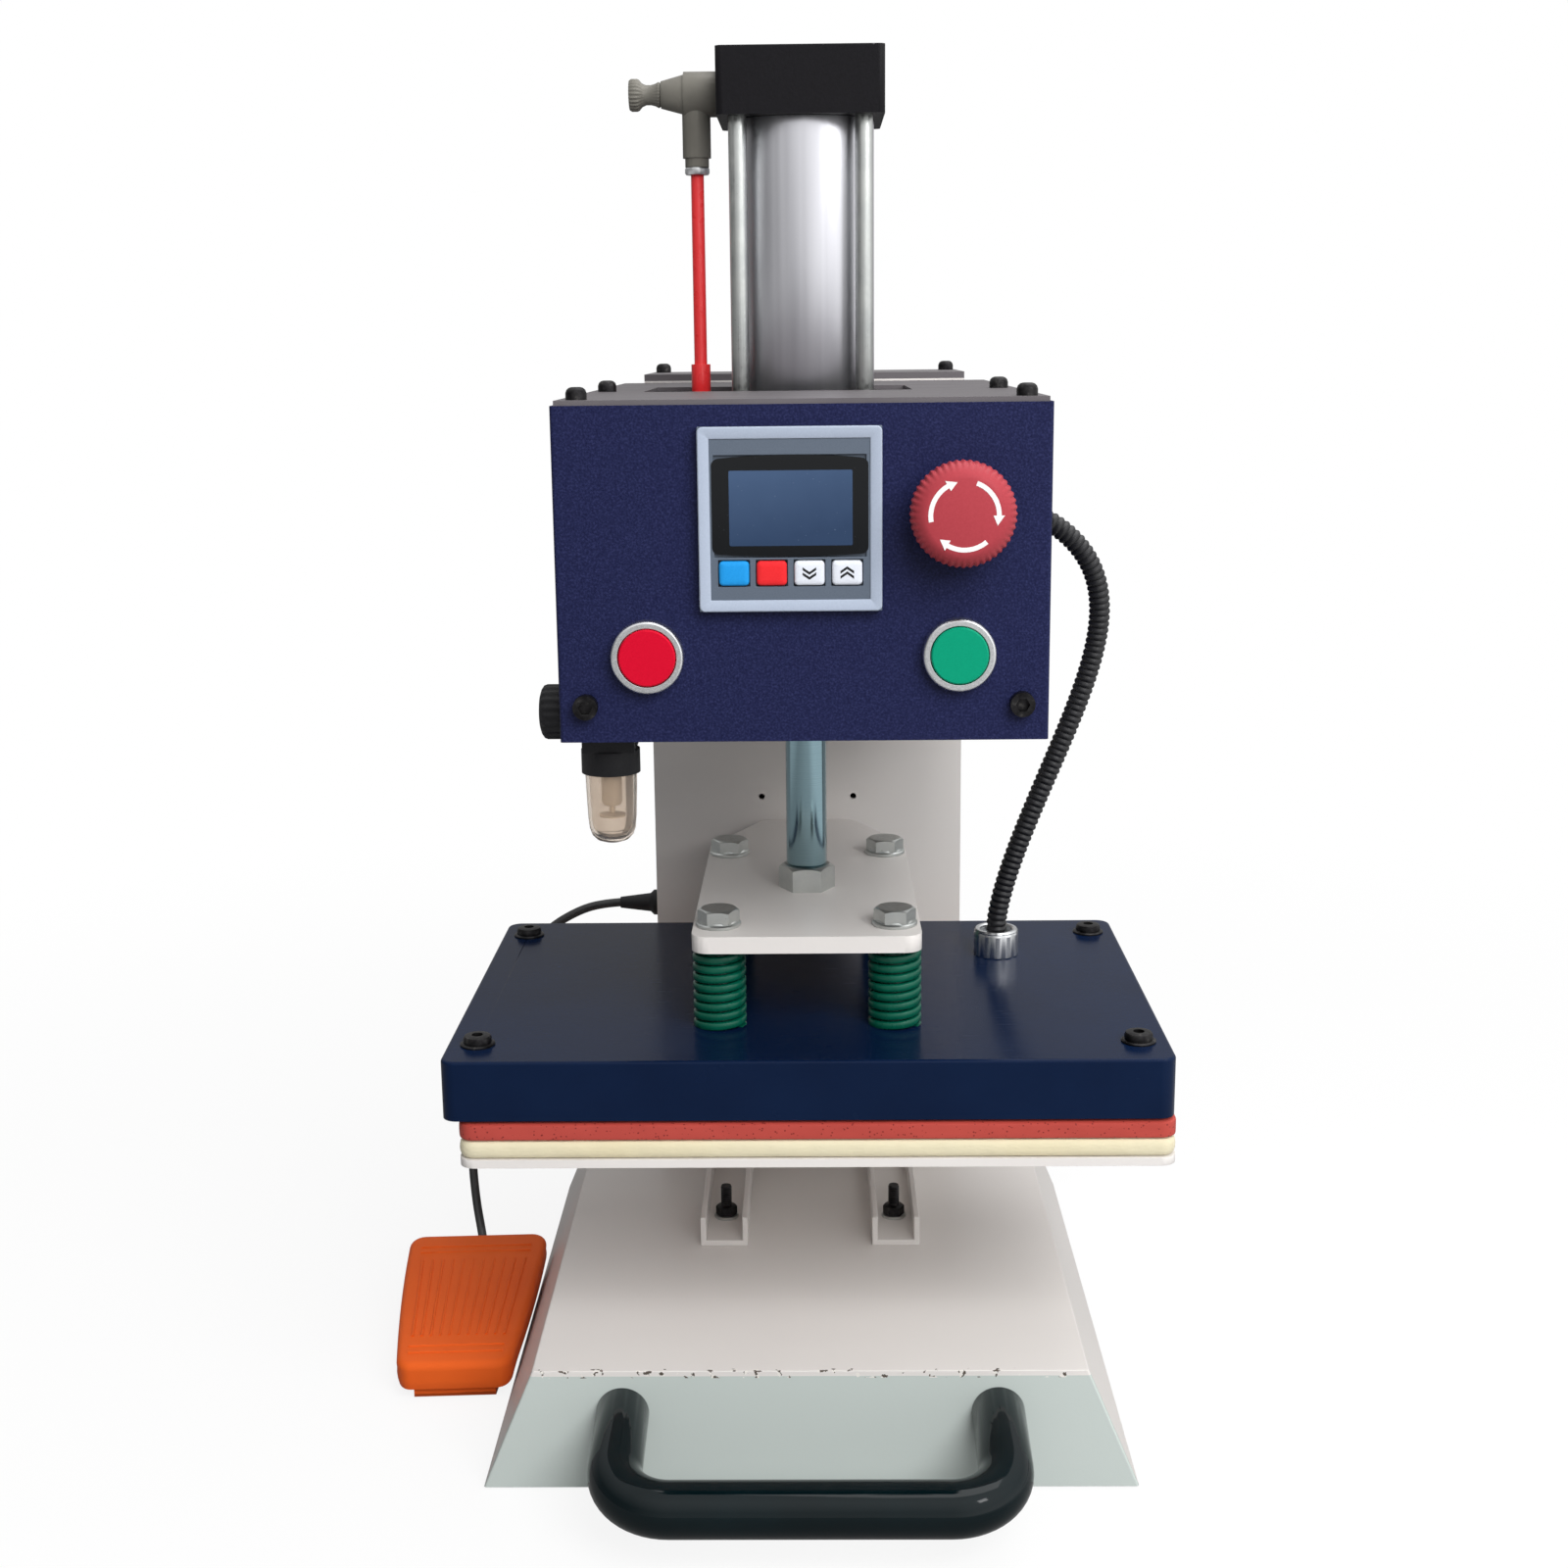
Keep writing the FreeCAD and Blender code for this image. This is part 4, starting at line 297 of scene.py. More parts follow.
# Moulded keys of an even colour with a slight pebble
keyCoat = {"grain": (1400, 2), "rough": (0.34, 0.16), "relief": (0.12, 0.0001), "gloss": 0.16}
keyTones = {
    "key_blue": ("keyBlue", (24, 134, 206), (40, 152, 222)),
    "key_red": ("keyRed", (214, 34, 40), (232, 50, 54)),
    "key_grey": ("keyGrey", (206, 210, 220), (224, 228, 236)),
    "stop_red": ("stopRed", (196, 3, 38), (206, 8, 44)),
    "start_green": ("startGreen", (0, 138, 104), (3, 150, 114))}
# Matt mouldings of the controller, with a fine even grain
meterCoat = {"grain": (1700, 2), "rough": (0.36, 0.16), "relief": (0.1, 0.0001)}

# Places on the painted frame, in metres
paintFacts = {"front": -0.1076, "apronTop": 0.0575, "chips": (0.0566, 0.0605), "columnTop": 0.5085}


def framePaint(facts):
    # pale warm grey stove enamel: orange peel, faint clouding, a painted shade of darker green-grey on the
    # apron's front face, and chips along the apron's top edge with painted highlights among their dark flecks
    coat = Finish("framePaint", gloss=0.35)
    cloud = coat.noise(9, 3)
    peel = coat.noise(520, 1)
    level, front = coat.axis("Z"), coat.axis("Y") < facts["front"]
    apron = front * (level < facts["apronTop"])
    pale = coat.blend(cloud, tone(224, 219, 216), tone(231, 227, 223))
    # painted shade: the apron's front face gets a darker, green-grey tone for the dimmer, green-tinted light
    # that falls on it
    base = coat.blend(apron, pale, tone(198, 207, 203))
    base = coat.blend(level > facts["columnTop"], base, tone(104, 100, 103))
    low, high = facts["chips"]
    edge = (level > low) * (level < high) * front * (coat.noise(190, 4) > 0.58)
    # chips: dark flecks of chipped paint, and pale flecks that are painted highlights on their edges
    chipFleckAndHighlight = coat.blend(coat.noise(420, 2) > 0.5, tone(92, 84, 76), tone(236, 232, 226))
    return coat.done(coat.blend(edge, base, chipFleckAndHighlight), 0.34 + 0.14 * cloud, (peel - edge * 1.5, 0.1, 0.0003))


def navyGloss():
    # glossy navy enamel: slow orange peel, dust and hairline rubs
    coat = Finish("navyGloss", gloss=0.1)
    cloud = coat.noise(24, 3)
    rub = coat.noise(60, 3, (1, 14, 1)) > 0.68
    colour = coat.blend(cloud, tone(5, 20, 47), tone(12, 31, 62))
    return coat.done(colour, 0.16 + 0.1 * cloud + 0.1 * rub, (coat.noise(140, 1), 0.05, 0.0006))


def capBlack():
    # black anodised casting: sandy skin and a few rubbed specks
    coat = Finish("capBlack", gloss=0.18)
    sand = coat.noise(760, 4)
    speck = (coat.cells(130) < 0.07) * (coat.noise(18) > 0.58)
    base = coat.blend(sand, tone(7, 6, 9), tone(19, 18, 22))
    return coat.done(coat.blend(speck, base, tone(88, 86, 90)), 0.4 + 0.2 * sand, (sand, 0.25, 0.0003))


def barrelAlloy():
    # drawn aluminium tube: faint lines round it and long soft streaks
    coat = Finish("barrelAlloy", Metallic=1.0)
    rings = coat.noise(3, 2, (1, 1, 420))
    streak = coat.noise(5, 3, (30, 30, 1))
    colour = coat.blend(streak, tone(200, 200, 206), tone(226, 226, 231))
    return coat.done(colour, 0.3 + 0.1 * rings + 0.06 * streak, (rings, 0.05, 0.0001))


def zincPlate():
    # bright zinc: mottled crystals and a faintly uneven skin
    coat = Finish("zincPlate", Metallic=1.0)
    mottle = coat.cells(420)
    wash = coat.noise(70, 3)
    colour = coat.blend(wash, tone(176, 180, 180), tone(214, 216, 212))
    return coat.done(colour, 0.22 + 0.22 * mottle + 0.08 * wash, (coat.noise(600, 2), 0.08, 0.0002))


def glassBlanket():
    # woven fibre blanket: two crossed sets of threads
    coat = Finish("glassBlanket")
    warp, weft = (coat.node("TexWave", {"bands_direction": way},
                            {"Vector": coat.place(), "Scale": 160, "Distortion": 1.0}) for way in "XY")
    colour = coat.blend(warp * weft, tone(176, 166, 140), tone(226, 218, 196))
    return coat.done(colour, 0.9, (warp + weft, 0.3, 0.0005))


# The display's lower middle in metres, and how fast its painted light gradient changes up and across it
glassFacts = {"low": 0.4506, "middle": -0.0287, "up": 22, "across": 4}


def lcdGlass(facts):
    # unlit display: blue-grey with a painted reflection that makes it paler towards its upper left, and a trace
    # of dust
    coat = Finish("lcdGlass", gloss=0.15)
    # painted reflection: a slope of colour up and across the glass
    lean = (coat.axis("Z") - facts["low"]) * facts["up"] - (coat.axis("X") - facts["middle"]) * facts["across"]
    dust = coat.noise(1100, 3) > 0.74
    shade = lean + 0.15 * coat.noise(120, 2)
    base = coat.ramp(shade, (0.05, tone(44, 62, 90)), (0.95, tone(70, 91, 122)))
    return coat.done(coat.blend(dust, base, tone(96, 112, 136)), 0.24 + 0.2 * dust)


def meterPane():
    # black acrylic over the display: clean gloss with a trace of dust
    coat = Finish("meterPane", gloss=0.25)
    dust = coat.noise(900, 3) > 0.72
    colour = coat.blend(dust, tone(13, 15, 18), tone(34, 37, 42))
    return coat.done(colour, 0.14 + 0.2 * dust, (coat.noise(80, 1), 0.02, 0.0004))


def pedalOrange():
    # orange moulding: fine grain, slight fading, and a dark band along the floor that is painted contact shade
    # as well as dirt
    coat = Finish("pedalOrange", gloss=0.1)
    fade = coat.noise(18, 3)
    grain = coat.noise(900, 2)
    # painted contact shade and dirt: the lowest millimetre or so turns dark brown
    contactShadeAndDirt = (coat.axis("Z") < 0.0012 + 0.0012 * coat.noise(60, 3)) * 0.6
    clean = coat.blend(fade, tone(222, 90, 32), tone(236, 104, 40))
    return coat.done(coat.blend(contactShadeAndDirt, clean, tone(70, 28, 14)), 0.36 + 0.18 * grain, (grain, 0.2, 0.0003))


def siliconeRed():
    # red sponge silicone: cut cells show as pits on the edge, darkened with painted shade
    coat = Finish("siliconeRed")
    pits = coat.cells(560) < 0.22
    wash = coat.noise(40, 3)
    base = coat.blend(wash, tone(172, 62, 54), tone(188, 74, 64))
    # painted shade: the pits get a darker red
    colour = coat.blend(pits * (coat.noise(330, 1) > 0.46), base, tone(120, 30, 26))
    return coat.done(colour, 0.55 + 0.2 * wash, (1 - pits, 0.35, 0.0004))


slotFinishes = {
    "frame_paint": framePaint(paintFacts), "navy_gloss": navyGloss(), "cap_black": capBlack(),
    "barrel": barrelAlloy(), "zinc": zincPlate(), "blanket": glassBlanket(), "meter_pane": meterPane(),
    "meter_grey": grainCoat("meterFace", ((76, 86, 99), (92, 102, 116)), **meterCoat),
    "pedal_orange": pedalOrange(), "silicone": siliconeRed()}
slotFinishes.update({slot: grainCoat(**facts) for slot, facts in grainCoats.items()})
slotFinishes.update({slot: grainCoat(name, tones, **keyCoat) for slot, (name, *tones) in keyTones.items()})
slotFinishes["cord"] = grainCoat(**grainCoats["black_plastic"])

# How the CAD nodes are softened; thin folded sheets stay sharp
dressFacts = {
    "merge": 0.00001, "width": 0.3, "segments": 2, "angle": 40,
    "widths": {"base_shell": 1.0, "platen_stand": 0.8, "floating_plate": 1.2, "cylinder_rear_cap": 0.8,
               "cylinder_front_cap": 0.8},
    "sheets": ("head_cover", "head_lid", "column", "column_back_cover", "platen_cover")}


def dressNodes(record, facts):
    # each CAD node takes the finish of its slot, and a welded fine bevel softens its edges
    for row in record["subparts"]:
        part = frame["nodes"][row["node"]]
        part.data.materials.clear()
        part.data.materials.append(slotFinishes[row["material_slot"]])
        weld = part.modifiers.new("weld", "WELD")
        weld.merge_threshold = facts["merge"]
        if row["node"] not in facts["sheets"]:
            soften = part.modifiers.new("soften", "BEVEL")
            soften.width = facts["widths"].get(row["node"], facts["width"]) * metre
            soften.segments = facts["segments"]
            soften.limit_method = "ANGLE"
            soften.angle_limit = math.radians(facts["angle"])
            soften.harden_normals = True


dressNodes(frame["record"], dressFacts)
print("CAD nodes dressed:", len(frame["nodes"]))


# Shells: arrays of points in millimetres with their faces
def gridShell(grid, loop=False):
    # quads between neighbouring rings; a loop joins the last ring to the first, else both ends get a flat cap
    rows, count = grid.shape[:2]
    index = np.arange(rows * count).reshape(rows, count)
    below = index if loop else index[:-1]
    above = np.roll(index, -1, axis=0) if loop else index[1:]
    corners = [below, np.roll(below, -1, 1), np.roll(above, -1, 1), above]
    quads = np.stack(corners, axis=-1).reshape(-1, 4).tolist()
    if not loop:
        quads += [index[0].tolist(), index[-1].tolist()]
    return grid.reshape(-1, 3), quads


axisFrames = {
    "+Z": ((0, 0, 1), (1, 0, 0), (0, 1, 0)), "-Y": ((0, -1, 0), (1, 0, 0), (0, 0, 1)),
    "+Y": ((0, 1, 0), (-1, 0, 0), (0, 0, 1)), "-X": ((-1, 0, 0), (0, -1, 0), (0, 0, 1))}


def axisFrame(axis):
    # the axis and the two directions square to it
    return (np.array(side, float) for side in axisFrames[axis])


def circle(count):
    return np.linspace(0, 2 * np.pi, count, endpoint=False)


def lathe(profile, centre, axis="+Z", count=64, wave=None, loop=False):
    # centre + height along the axis + radius times (cos t, sin t); wave(t, radius, height) scales the radius
    radius, height = np.asarray(profile, float).T
    turn = circle(count)
    along, across, beside = axisFrame(axis)
    spread = radius[:, None] * np.ones(count)
    if wave is not None:
        spread = spread * wave(turn[None], radius[:, None], height[:, None])
    ring = np.cos(turn)[:, None] * across + np.sin(turn)[:, None] * beside
    grid = np.array(centre, float) + height[:, None, None] * along + spread[..., None] * ring[None]
    return gridShell(grid, loop)


def sweep(path, radius, upright, count):
    # rings of a given radius square to a path, with one fixed direction to keep them from twisting
    ahead = np.gradient(path, axis=0)
    ahead /= np.linalg.norm(ahead, axis=1, keepdims=True)
    side = np.cross(ahead, np.array(upright, float))
    side /= np.linalg.norm(side, axis=1, keepdims=True)
    top = np.cross(side, ahead)
    turn = circle(count)
    ring = np.cos(turn)[None, :, None] * side[:, None] + np.sin(turn)[None, :, None] * top[:, None]
    reach = np.broadcast_to(np.asarray(radius, float), (len(path),))
    return gridShell(path[:, None] + reach[:, None, None] * ring)


def roundedRing(halfX, halfY, corner, steps=9):
    # quarter circles at the four corners of a rectangle, joined by its straight sides
    turn = np.radians((np.arange(4)[:, None] * 90 + np.linspace(0, 90, steps)[None]).ravel())
    x = np.repeat([1, -1, -1, 1], steps) * (halfX - corner) + corner * np.cos(turn)
    y = np.repeat([1, 1, -1, -1], steps) * (halfY - corner) + corner * np.sin(turn)
    return np.stack([x, y], axis=1)


def runLength(path):
    # the length travelled at each point of a path
    return np.concatenate([[0], np.cumsum(np.linalg.norm(np.diff(path, axis=0), axis=1))])


def evenRing(ring, count):
    # the same closed outline with its points evenly spaced along its length
    closed = np.vstack([ring, ring[:1]])
    length = runLength(closed)
    spot = np.linspace(0, length[-1], count, endpoint=False)
    return np.stack([np.interp(spot, length, closed[:, k]) for k in range(2)], axis=1)


def plateShell(rows, halfX, halfY, corner, centre, axis, loop=False, least=0.05):
    # rounded rectangles stacked along an axis: each row is an inset from the outline and a height
    along, across, beside = axisFrame(axis)
    rings = []
    for inset, height in rows:
        flat = roundedRing(halfX - inset, halfY - inset, max(corner - inset, least))
        rings.append(np.array(centre, float) + height * along + flat[:, :1] * across + flat[:, 1:] * beside)
    return gridShell(np.stack(rings), loop)


def prism(flat, centre, low, high, axis):
    # a flat outline carried from a low to a high level along an axis
    along, across, beside = axisFrame(axis)
    flat = np.asarray(flat, float)
    ring = np.array(centre, float) + flat[:, :1] * across + flat[:, 1:] * beside
    return gridShell(np.stack([ring + low * along, ring + high * along]))


def addPiece(name, shells, slot, body, replaces=(), finish=None, sharp=35):
    # joins the shells into one mesh in metres, merges doubles and turns the faces outwards
    points, faces, first = [], [], 0
    for spots, loops in shells:
        points.append(spots)
        faces += [[first + k for k in loop] for loop in loops]
        first += len(spots)
    mesh = bpy.data.meshes.new(name)
    mesh.from_pydata((np.vstack(points) * metre).tolist(), [], faces)
    work = bmesh.new()
    work.from_mesh(mesh)
    bmesh.ops.remove_doubles(work, verts=work.verts, dist=1e-6)
    bmesh.ops.recalc_face_normals(work, faces=work.faces)
    work.to_mesh(mesh)
    work.free()
    mesh.shade_smooth()
    mesh.set_sharp_from_angle(angle=math.radians(sharp))
    piece = bpy.data.objects.new(name, mesh)
    scene.collection.objects.link(piece)
    mesh.materials.append(finish or slotFinishes[slot])
    if body:
        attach(piece, body)
    if replaces:
        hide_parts(*replaces)
    return piece


# Pads between the platens; waves are a count round the rim, a size and a lead
padFacts = {
    "centre": (4, -8, 0), "halfX": 162, "halfY": 111, "corner": 7, "points": 640, "levels": 13,
    "waves": ((23, 1, 0), (57, 0.6, 1.3), (111, 0.4, 0)),
    "foam": {"low": 169.4, "high": 178.4, "power": 2.6, "pull": 3.4, "ripple": 0.12},
    "silicone": {"low": 178.4, "high": 186.4, "power": 5, "pull": 1.2, "ripple": 0.1}}


def padShell(facts, low, high, power, pull, ripple):
    # stacked outlines whose inset follows a rounded edge, |2u-1| to a power, with a slow ripple along the rim
    share = np.linspace(0, 1, facts["levels"])
    inset = pull * (1 - (1 - np.abs(2 * share - 1) ** power) ** (1 / power))
    flat = evenRing(roundedRing(facts["halfX"], facts["halfY"], facts["corner"]), facts["points"])
    middle = np.array([facts["halfX"] - facts["corner"], facts["halfY"] - facts["corner"]])
    inward = flat - np.clip(flat, -middle, middle)
    inward /= np.linalg.norm(inward, axis=1, keepdims=True)
    along = np.arange(len(flat)) / len(flat) * 2 * np.pi
    sway = ripple * sum(size * np.sin(count * along + lead) for count, size, lead in facts["waves"])
    draw = inset[:, None] + sway[None] * np.sin(np.pi * share)[:, None]
    spots = flat[None] - draw[..., None] * inward[None]
    level = np.broadcast_to((low + (high - low) * share)[:, None, None], (len(share), len(flat), 1))
    return gridShell(np.concatenate([spots, level], axis=2) + np.array(facts["centre"], float))


def makePads(facts):
    foam = addPiece("foamPad", [padShell(facts, **facts["foam"])], "foam", "frame", ["lower_foam_pad"])
    silicone = addPiece("siliconePad", [padShell(facts, **facts["silicone"])], "silicone", "frame",
                        ["lower_silicone_pad"])


makePads(padFacts)

# Springs round the platen bolts, of flattened wire
springFacts = {
    "spots": ((-41, -67), (41, -67), (-41, 67), (41, 67)), "low": 216, "high": 256, "outer": 12.5,
    "wide": 2.3, "tall": 1.9, "turns": 9.5, "steps": 56, "start": -0.55, "wedge": 0.3, "lap": 16,
    "power": 0.5}


def coilShell(facts, x, y):
    # a rounded oblong, |cos|^0.5 by |sin|^0.5, carried round a helix that rises evenly, both ends ground flat
    turn = np.linspace(0, 2 * np.pi * facts["turns"], int(facts["turns"] * facts["steps"]) + 1)
    spare = facts["tall"] - facts["wedge"]
    rise = np.linspace(facts["low"] - spare, facts["high"] + spare, len(turn))
    across, upward = np.cos(circle(facts["lap"])), np.sin(circle(facts["lap"]))
    out = facts["wide"] * np.sign(across) * np.abs(across) ** facts["power"]
    up = facts["tall"] * np.sign(upward) * np.abs(upward) ** facts["power"]
    reach = facts["outer"] - facts["wide"] + out[None]
    turn = turn + facts["start"]
    level = np.clip(rise[:, None] + up[None], facts["low"], facts["high"])
    grid = [x + reach * np.cos(turn)[:, None], y + reach * np.sin(turn)[:, None], level]
    return gridShell(np.stack(grid, axis=2))


springs = addPiece("platenSprings", [coilShell(springFacts, *spot) for spot in springFacts["spots"]], "spring",
                   "platen", ["platen_springs"])
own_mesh(springs)

# Corrugated conduit from the head to the platen; shares are of the way in Y or of the drop
hoseFacts = {
    "top": (107.61, 20, 447.18), "foot": (98, 41, 225), "tilt": 20, "cuff": 4, "lead": 24,
    "bow": 63.5, "bowShare": 0.15, "bowDrop": 0.2, "swing": 48.8, "lean": 5.9, "swingRise": 0.63,
    "footRise": 0.18, "crest": 5.25, "valley": 4.45, "pitch": 3.2, "perRib": 8, "flare": 0.6,
    "steps": 400, "cuffSteps": 20, "count": 22}


def hoseShell(facts):
    # a fifth-degree Bezier between two straight ends, swept with a radius that waves once per rib
    top, foot, tilt = np.array(facts["top"]), np.array(facts["foot"], float), math.radians(facts["tilt"])
    leave = np.array([math.cos(tilt), 0, -math.sin(tilt)])
    start, end = top + leave * facts["cuff"], foot + (0, 0, facts["cuff"])
    drop = start[2] - end[2]
    poles = np.array([start, start + leave * facts["lead"],
                      start + (facts["bow"], facts["bowShare"] * (end[1] - start[1]), -facts["bowDrop"] * drop),
                      end + (facts["swing"], facts["lean"], facts["swingRise"] * drop),
                      end + (0, 0, facts["footRise"] * drop), end])
    share = np.linspace(0, 1, facts["steps"])[:, None]
    weights = np.concatenate([math.comb(5, k) * share ** k * (1 - share) ** (5 - k) for k in range(6)], axis=1)
    path = np.vstack([np.linspace(top, start, facts["cuffSteps"])[:-1], weights @ poles,
                      np.linspace(end, foot, facts["cuffSteps"])[1:]])
    length = runLength(path)
    ribs = round(length[-1] / facts["pitch"])
    spot = np.linspace(0, length[-1], ribs * facts["perRib"] + 1)
    line = np.stack([np.interp(spot, length, path[:, k]) for k in range(3)], axis=1)
    wave = 0.5 - 0.5 * np.cos(2 * np.pi * ribs * spot / length[-1])
    reach = facts["valley"] + (facts["crest"] - facts["valley"]) * wave ** facts["flare"]
    return sweep(line, reach, (0, 1, 0), facts["count"])


hose = addPiece("conduitHose", [hoseShell(hoseFacts)], "hose", None, ["conduit_hose"])
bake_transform(hose)
print("soft pieces made")

# Hexagon nuts and bolts; rows are radius and height
hexFacts = {"count": 96, "crown": 0.47, "slope": 30}
boltFacts = {
    "spots": springFacts["spots"], "plate": 264, "seat": 266, "flats": 17, "head": 6.4,
    "washer": ((5, 0), (10.2, 0), (10.5, 0.3), (10.5, 1.5), (10, 2), (5, 2)),
    "shank": ((0, 191), (5, 191), (5, 266), (0, 266)), "collar": ((0, 0), (8.9, 0), (8.6, 0.9), (0, 1.1))}
lockNut = {"flats": 24, "height": 12, "centre": (0, 0, 264)}


def hexShell(flats, height, centre):
    # a hexagon whose top meets a cone: height less the reach beyond its inner circle times tan 30
    turn = circle(hexFacts["count"])
    reach = flats / 2 / np.cos(turn % (np.pi / 3) - np.pi / 6)
    crown = flats * hexFacts["crown"]
    lip = height - np.maximum(reach - crown, 0) * math.tan(math.radians(hexFacts["slope"]))
    along, across, beside = axisFrame("+Z")
    ring = np.cos(turn)[:, None] * across + np.sin(turn)[:, None] * beside
    side = reach[:, None] * ring
    rows = [side, side + lip[:, None] * along, crown * ring + height * along]
    return gridShell(np.array(centre, float) + np.stack(rows))


def boltShells(facts, x, y):
    seat = (x, y, facts["seat"])
    return [lathe(facts["washer"], (x, y, facts["plate"]), loop=True),
            lathe(facts["shank"], (x, y, 0), count=32), lathe(facts["collar"], seat),
            hexShell(facts["flats"], facts["head"], seat)]


bolts = [shell for spot in boltFacts["spots"] for shell in boltShells(boltFacts, *spot)]
addPiece("platenBolts", bolts, "zinc", "platen", ["platen_bolts"], sharp=24)
addPiece("rodLockNut", [hexShell(**lockNut)], "zinc", "ram", ["rod_lock_nut"], sharp=24)

# Round-headed black screws of the lid, the back cover and the platen cover
screwFacts = {
    "lid": ((-89.5, -156, 507.5), (89.5, -156, 507.5), (-89.5, -30, 507.5), (89.5, -30, 507.5),
            (-81, 215, 512), (81, 215, 512)),
    "head": ((0, 0), (4.25, 0), (4.25, 2.6), (3.8, 3.9), (2.9, 4.7), (1.9, 5), (1.9, 3), (0, 3)),
    "back": tuple((x, 233, z) for x in (-79, 79) for z in (80, 224, 368, 500)),
    "cover": ((-151, -95, 216), (151, -95, 216), (-151, 79, 216), (151, 79, 216)),
    "coverHead": ((0, -12), (3, -12), (3, 0), (8, 0), (8, 0.7), (7.3, 1.2), (6.5, 1.3), (6.5, 3.2),
                  (5.9, 4.4), (4.6, 4.8), (2.6, 4.8), (2.4, 2.6), (0, 2.6))}


def makeScrews(facts):
    lid = [lathe(facts["head"], spot, count=40) for spot in facts["lid"]]
    addPiece("lidScrews", lid, "dark_steel", "frame", ["head_lid_screws"])
    back = [lathe(facts["head"], spot, "+Y", count=40) for spot in facts["back"]]
    addPiece("backScrews", back, "dark_steel", "frame")
    cover = [lathe(facts["coverHead"], spot, count=48) for spot in facts["cover"]]
    addPiece("coverScrews", cover, "dark_steel", "platen", ["platen_cover_screws"])


makeScrews(screwFacts)

# Blacked studs with nuts and bright washers in the stand's channels
studFacts = {
    "spots": ((-45.5, 55), (45.5, 55)), "web": 63, "seat": 64.5, "flats": 10, "nut": 5, "radius": 3,
    "groove": 0.35, "pitch": 1, "length": 18, "bevel": 0.4,
    "washer": ((3, 0), (6.5, 0), (6.5, 1.2), (6.2, 1.5), (3, 1.5))}


def studShell(facts, x, y):
    # a thread drawn as rings: the radius falls by the groove at every other half pitch
    count = round(2 * facts["length"] / facts["pitch"]) + 1
    rise = np.arange(count) * facts["pitch"] / 2
    reach = facts["radius"] - facts["groove"] * (np.arange(count) % 2)
    reach[-1] -= facts["bevel"]
    profile = [(0, 0), *zip(reach, rise), (0, facts["length"])]
    return lathe(profile, (x, y, facts["web"]), count=32)


def makeStuds(facts):
    studs, washers = [], []
    for x, y in facts["spots"]:
        studs += [studShell(facts, x, y), hexShell(facts["flats"], facts["nut"], (x, y, facts["seat"]))]
        washers.append(lathe(facts["washer"], (x, y, facts["web"]), count=40, loop=True))
    addPiece("standStuds", studs, "dark_steel", "frame", ["stand_bolts"])
    addPiece("standWashers", washers, "zinc", "frame")


makeStuds(studFacts)
print("fasteners made")

# Controller: raised rim, arched window, display and four pillow keys
meterFacts = {
    "centre": (-4.7, -168, 460.8), "half": 36.25, "corner": 2.2,
    "rim": ((0, 4.6), (0, 5.3), (0.4, 5.7), (4.2, 5.7), (4.6, 5.4), (4.6, 4.6)),
    "rimTones": ((154, 165, 183), (170, 180, 197)),
    "window": (30.85, 18.5, 2.4), "windowCentre": (-4.7, -168, 466), "points": 180, "arch": (1.7, 1.1),
    "pane": (3.6, 5.25), "display": (24.3, 14.75, 0.7), "displayCentre": (-4.4, -168, 465.35),
    "glass": (5.2, 5.36)}
keyFacts = {
    "half": (6, 4.85), "corner": 1.7, "face": -168, "level": 439.8, "pitch": 14.93, "middle": -4.7,
    "rows": ((0, 2.8), (0, 5.2), (0.3, 5.75), (0.9, 6.1), (2.2, 6.2), (4.5, 6.22)),
    "keys": (("key_blue", "blue_key", 0), ("key_red", "red_key", 0), ("key_down", "down_key", 1),
             ("key_up", "up_key", -1)),
    "chevron": ((-2.7, -0.15), (0, -2.0), (2.7, -0.15), (2.7, 0.95), (0, -0.9), (-2.7, 0.95)),
    "lifts": (-0.6, 1.4), "ink": (6.15, 6.3)}


def makeController(facts):
    half = facts["half"]
    rim = plateShell(facts["rim"], half, half, facts["corner"], facts["centre"], "-Y", loop=True)
    pale = grainCoat("meterRim", facts["rimTones"], **meterCoat)
    addPiece("meterRim", [rim], "meter_grey", "frame", finish=pale)
    halfX, halfY, corner = facts["window"]
    flat = evenRing(roundedRing(halfX, halfY, corner), facts["points"])
    # the upper and lower edges bow outwards by their arch times 1 - (x / half)^2
    upper, lower = facts["arch"]
    bow = np.where(flat[:, 1] > 0, upper, lower) * (1 - (flat[:, 0] / halfX) ** 2)
    flat[:, 1] += bow * flat[:, 1] / halfY
    window = prism(flat, facts["windowCentre"], *facts["pane"], "-Y")
    addPiece("meterWindow", [window], "meter_pane", "frame", ["controller_window"])
    glass = prism(roundedRing(*facts["display"]), facts["displayCentre"], *facts["glass"], "-Y")
    addPiece("meterDisplay", [glass], "meter_pane", "frame", finish=lcdGlass(glassFacts))


def makeKeys(facts):
    # the third number of a key turns its chevrons down or up, and none are drawn for 0
    first = facts["middle"] - facts["pitch"] * (len(facts["keys"]) - 1) / 2
    for place, (key, body, flip) in enumerate(facts["keys"]):
        centre = (first + facts["pitch"] * place, facts["face"], facts["level"])
        cap = plateShell(facts["rows"], *facts["half"], facts["corner"], centre, "-Y")
        addPiece(key + "Cap", [cap], "key_grey" if flip else key, body, [key])
        if flip:
            flats = [(np.array(facts["chevron"]) + (0, lift)) * (1, flip) for lift in facts["lifts"]]
            marks = [prism(flat, centre, *facts["ink"], "-Y") for flat in flats]
            addPiece(key + "Marks", marks, "black_plastic", body)


makeController(meterFacts)
makeKeys(keyFacts)

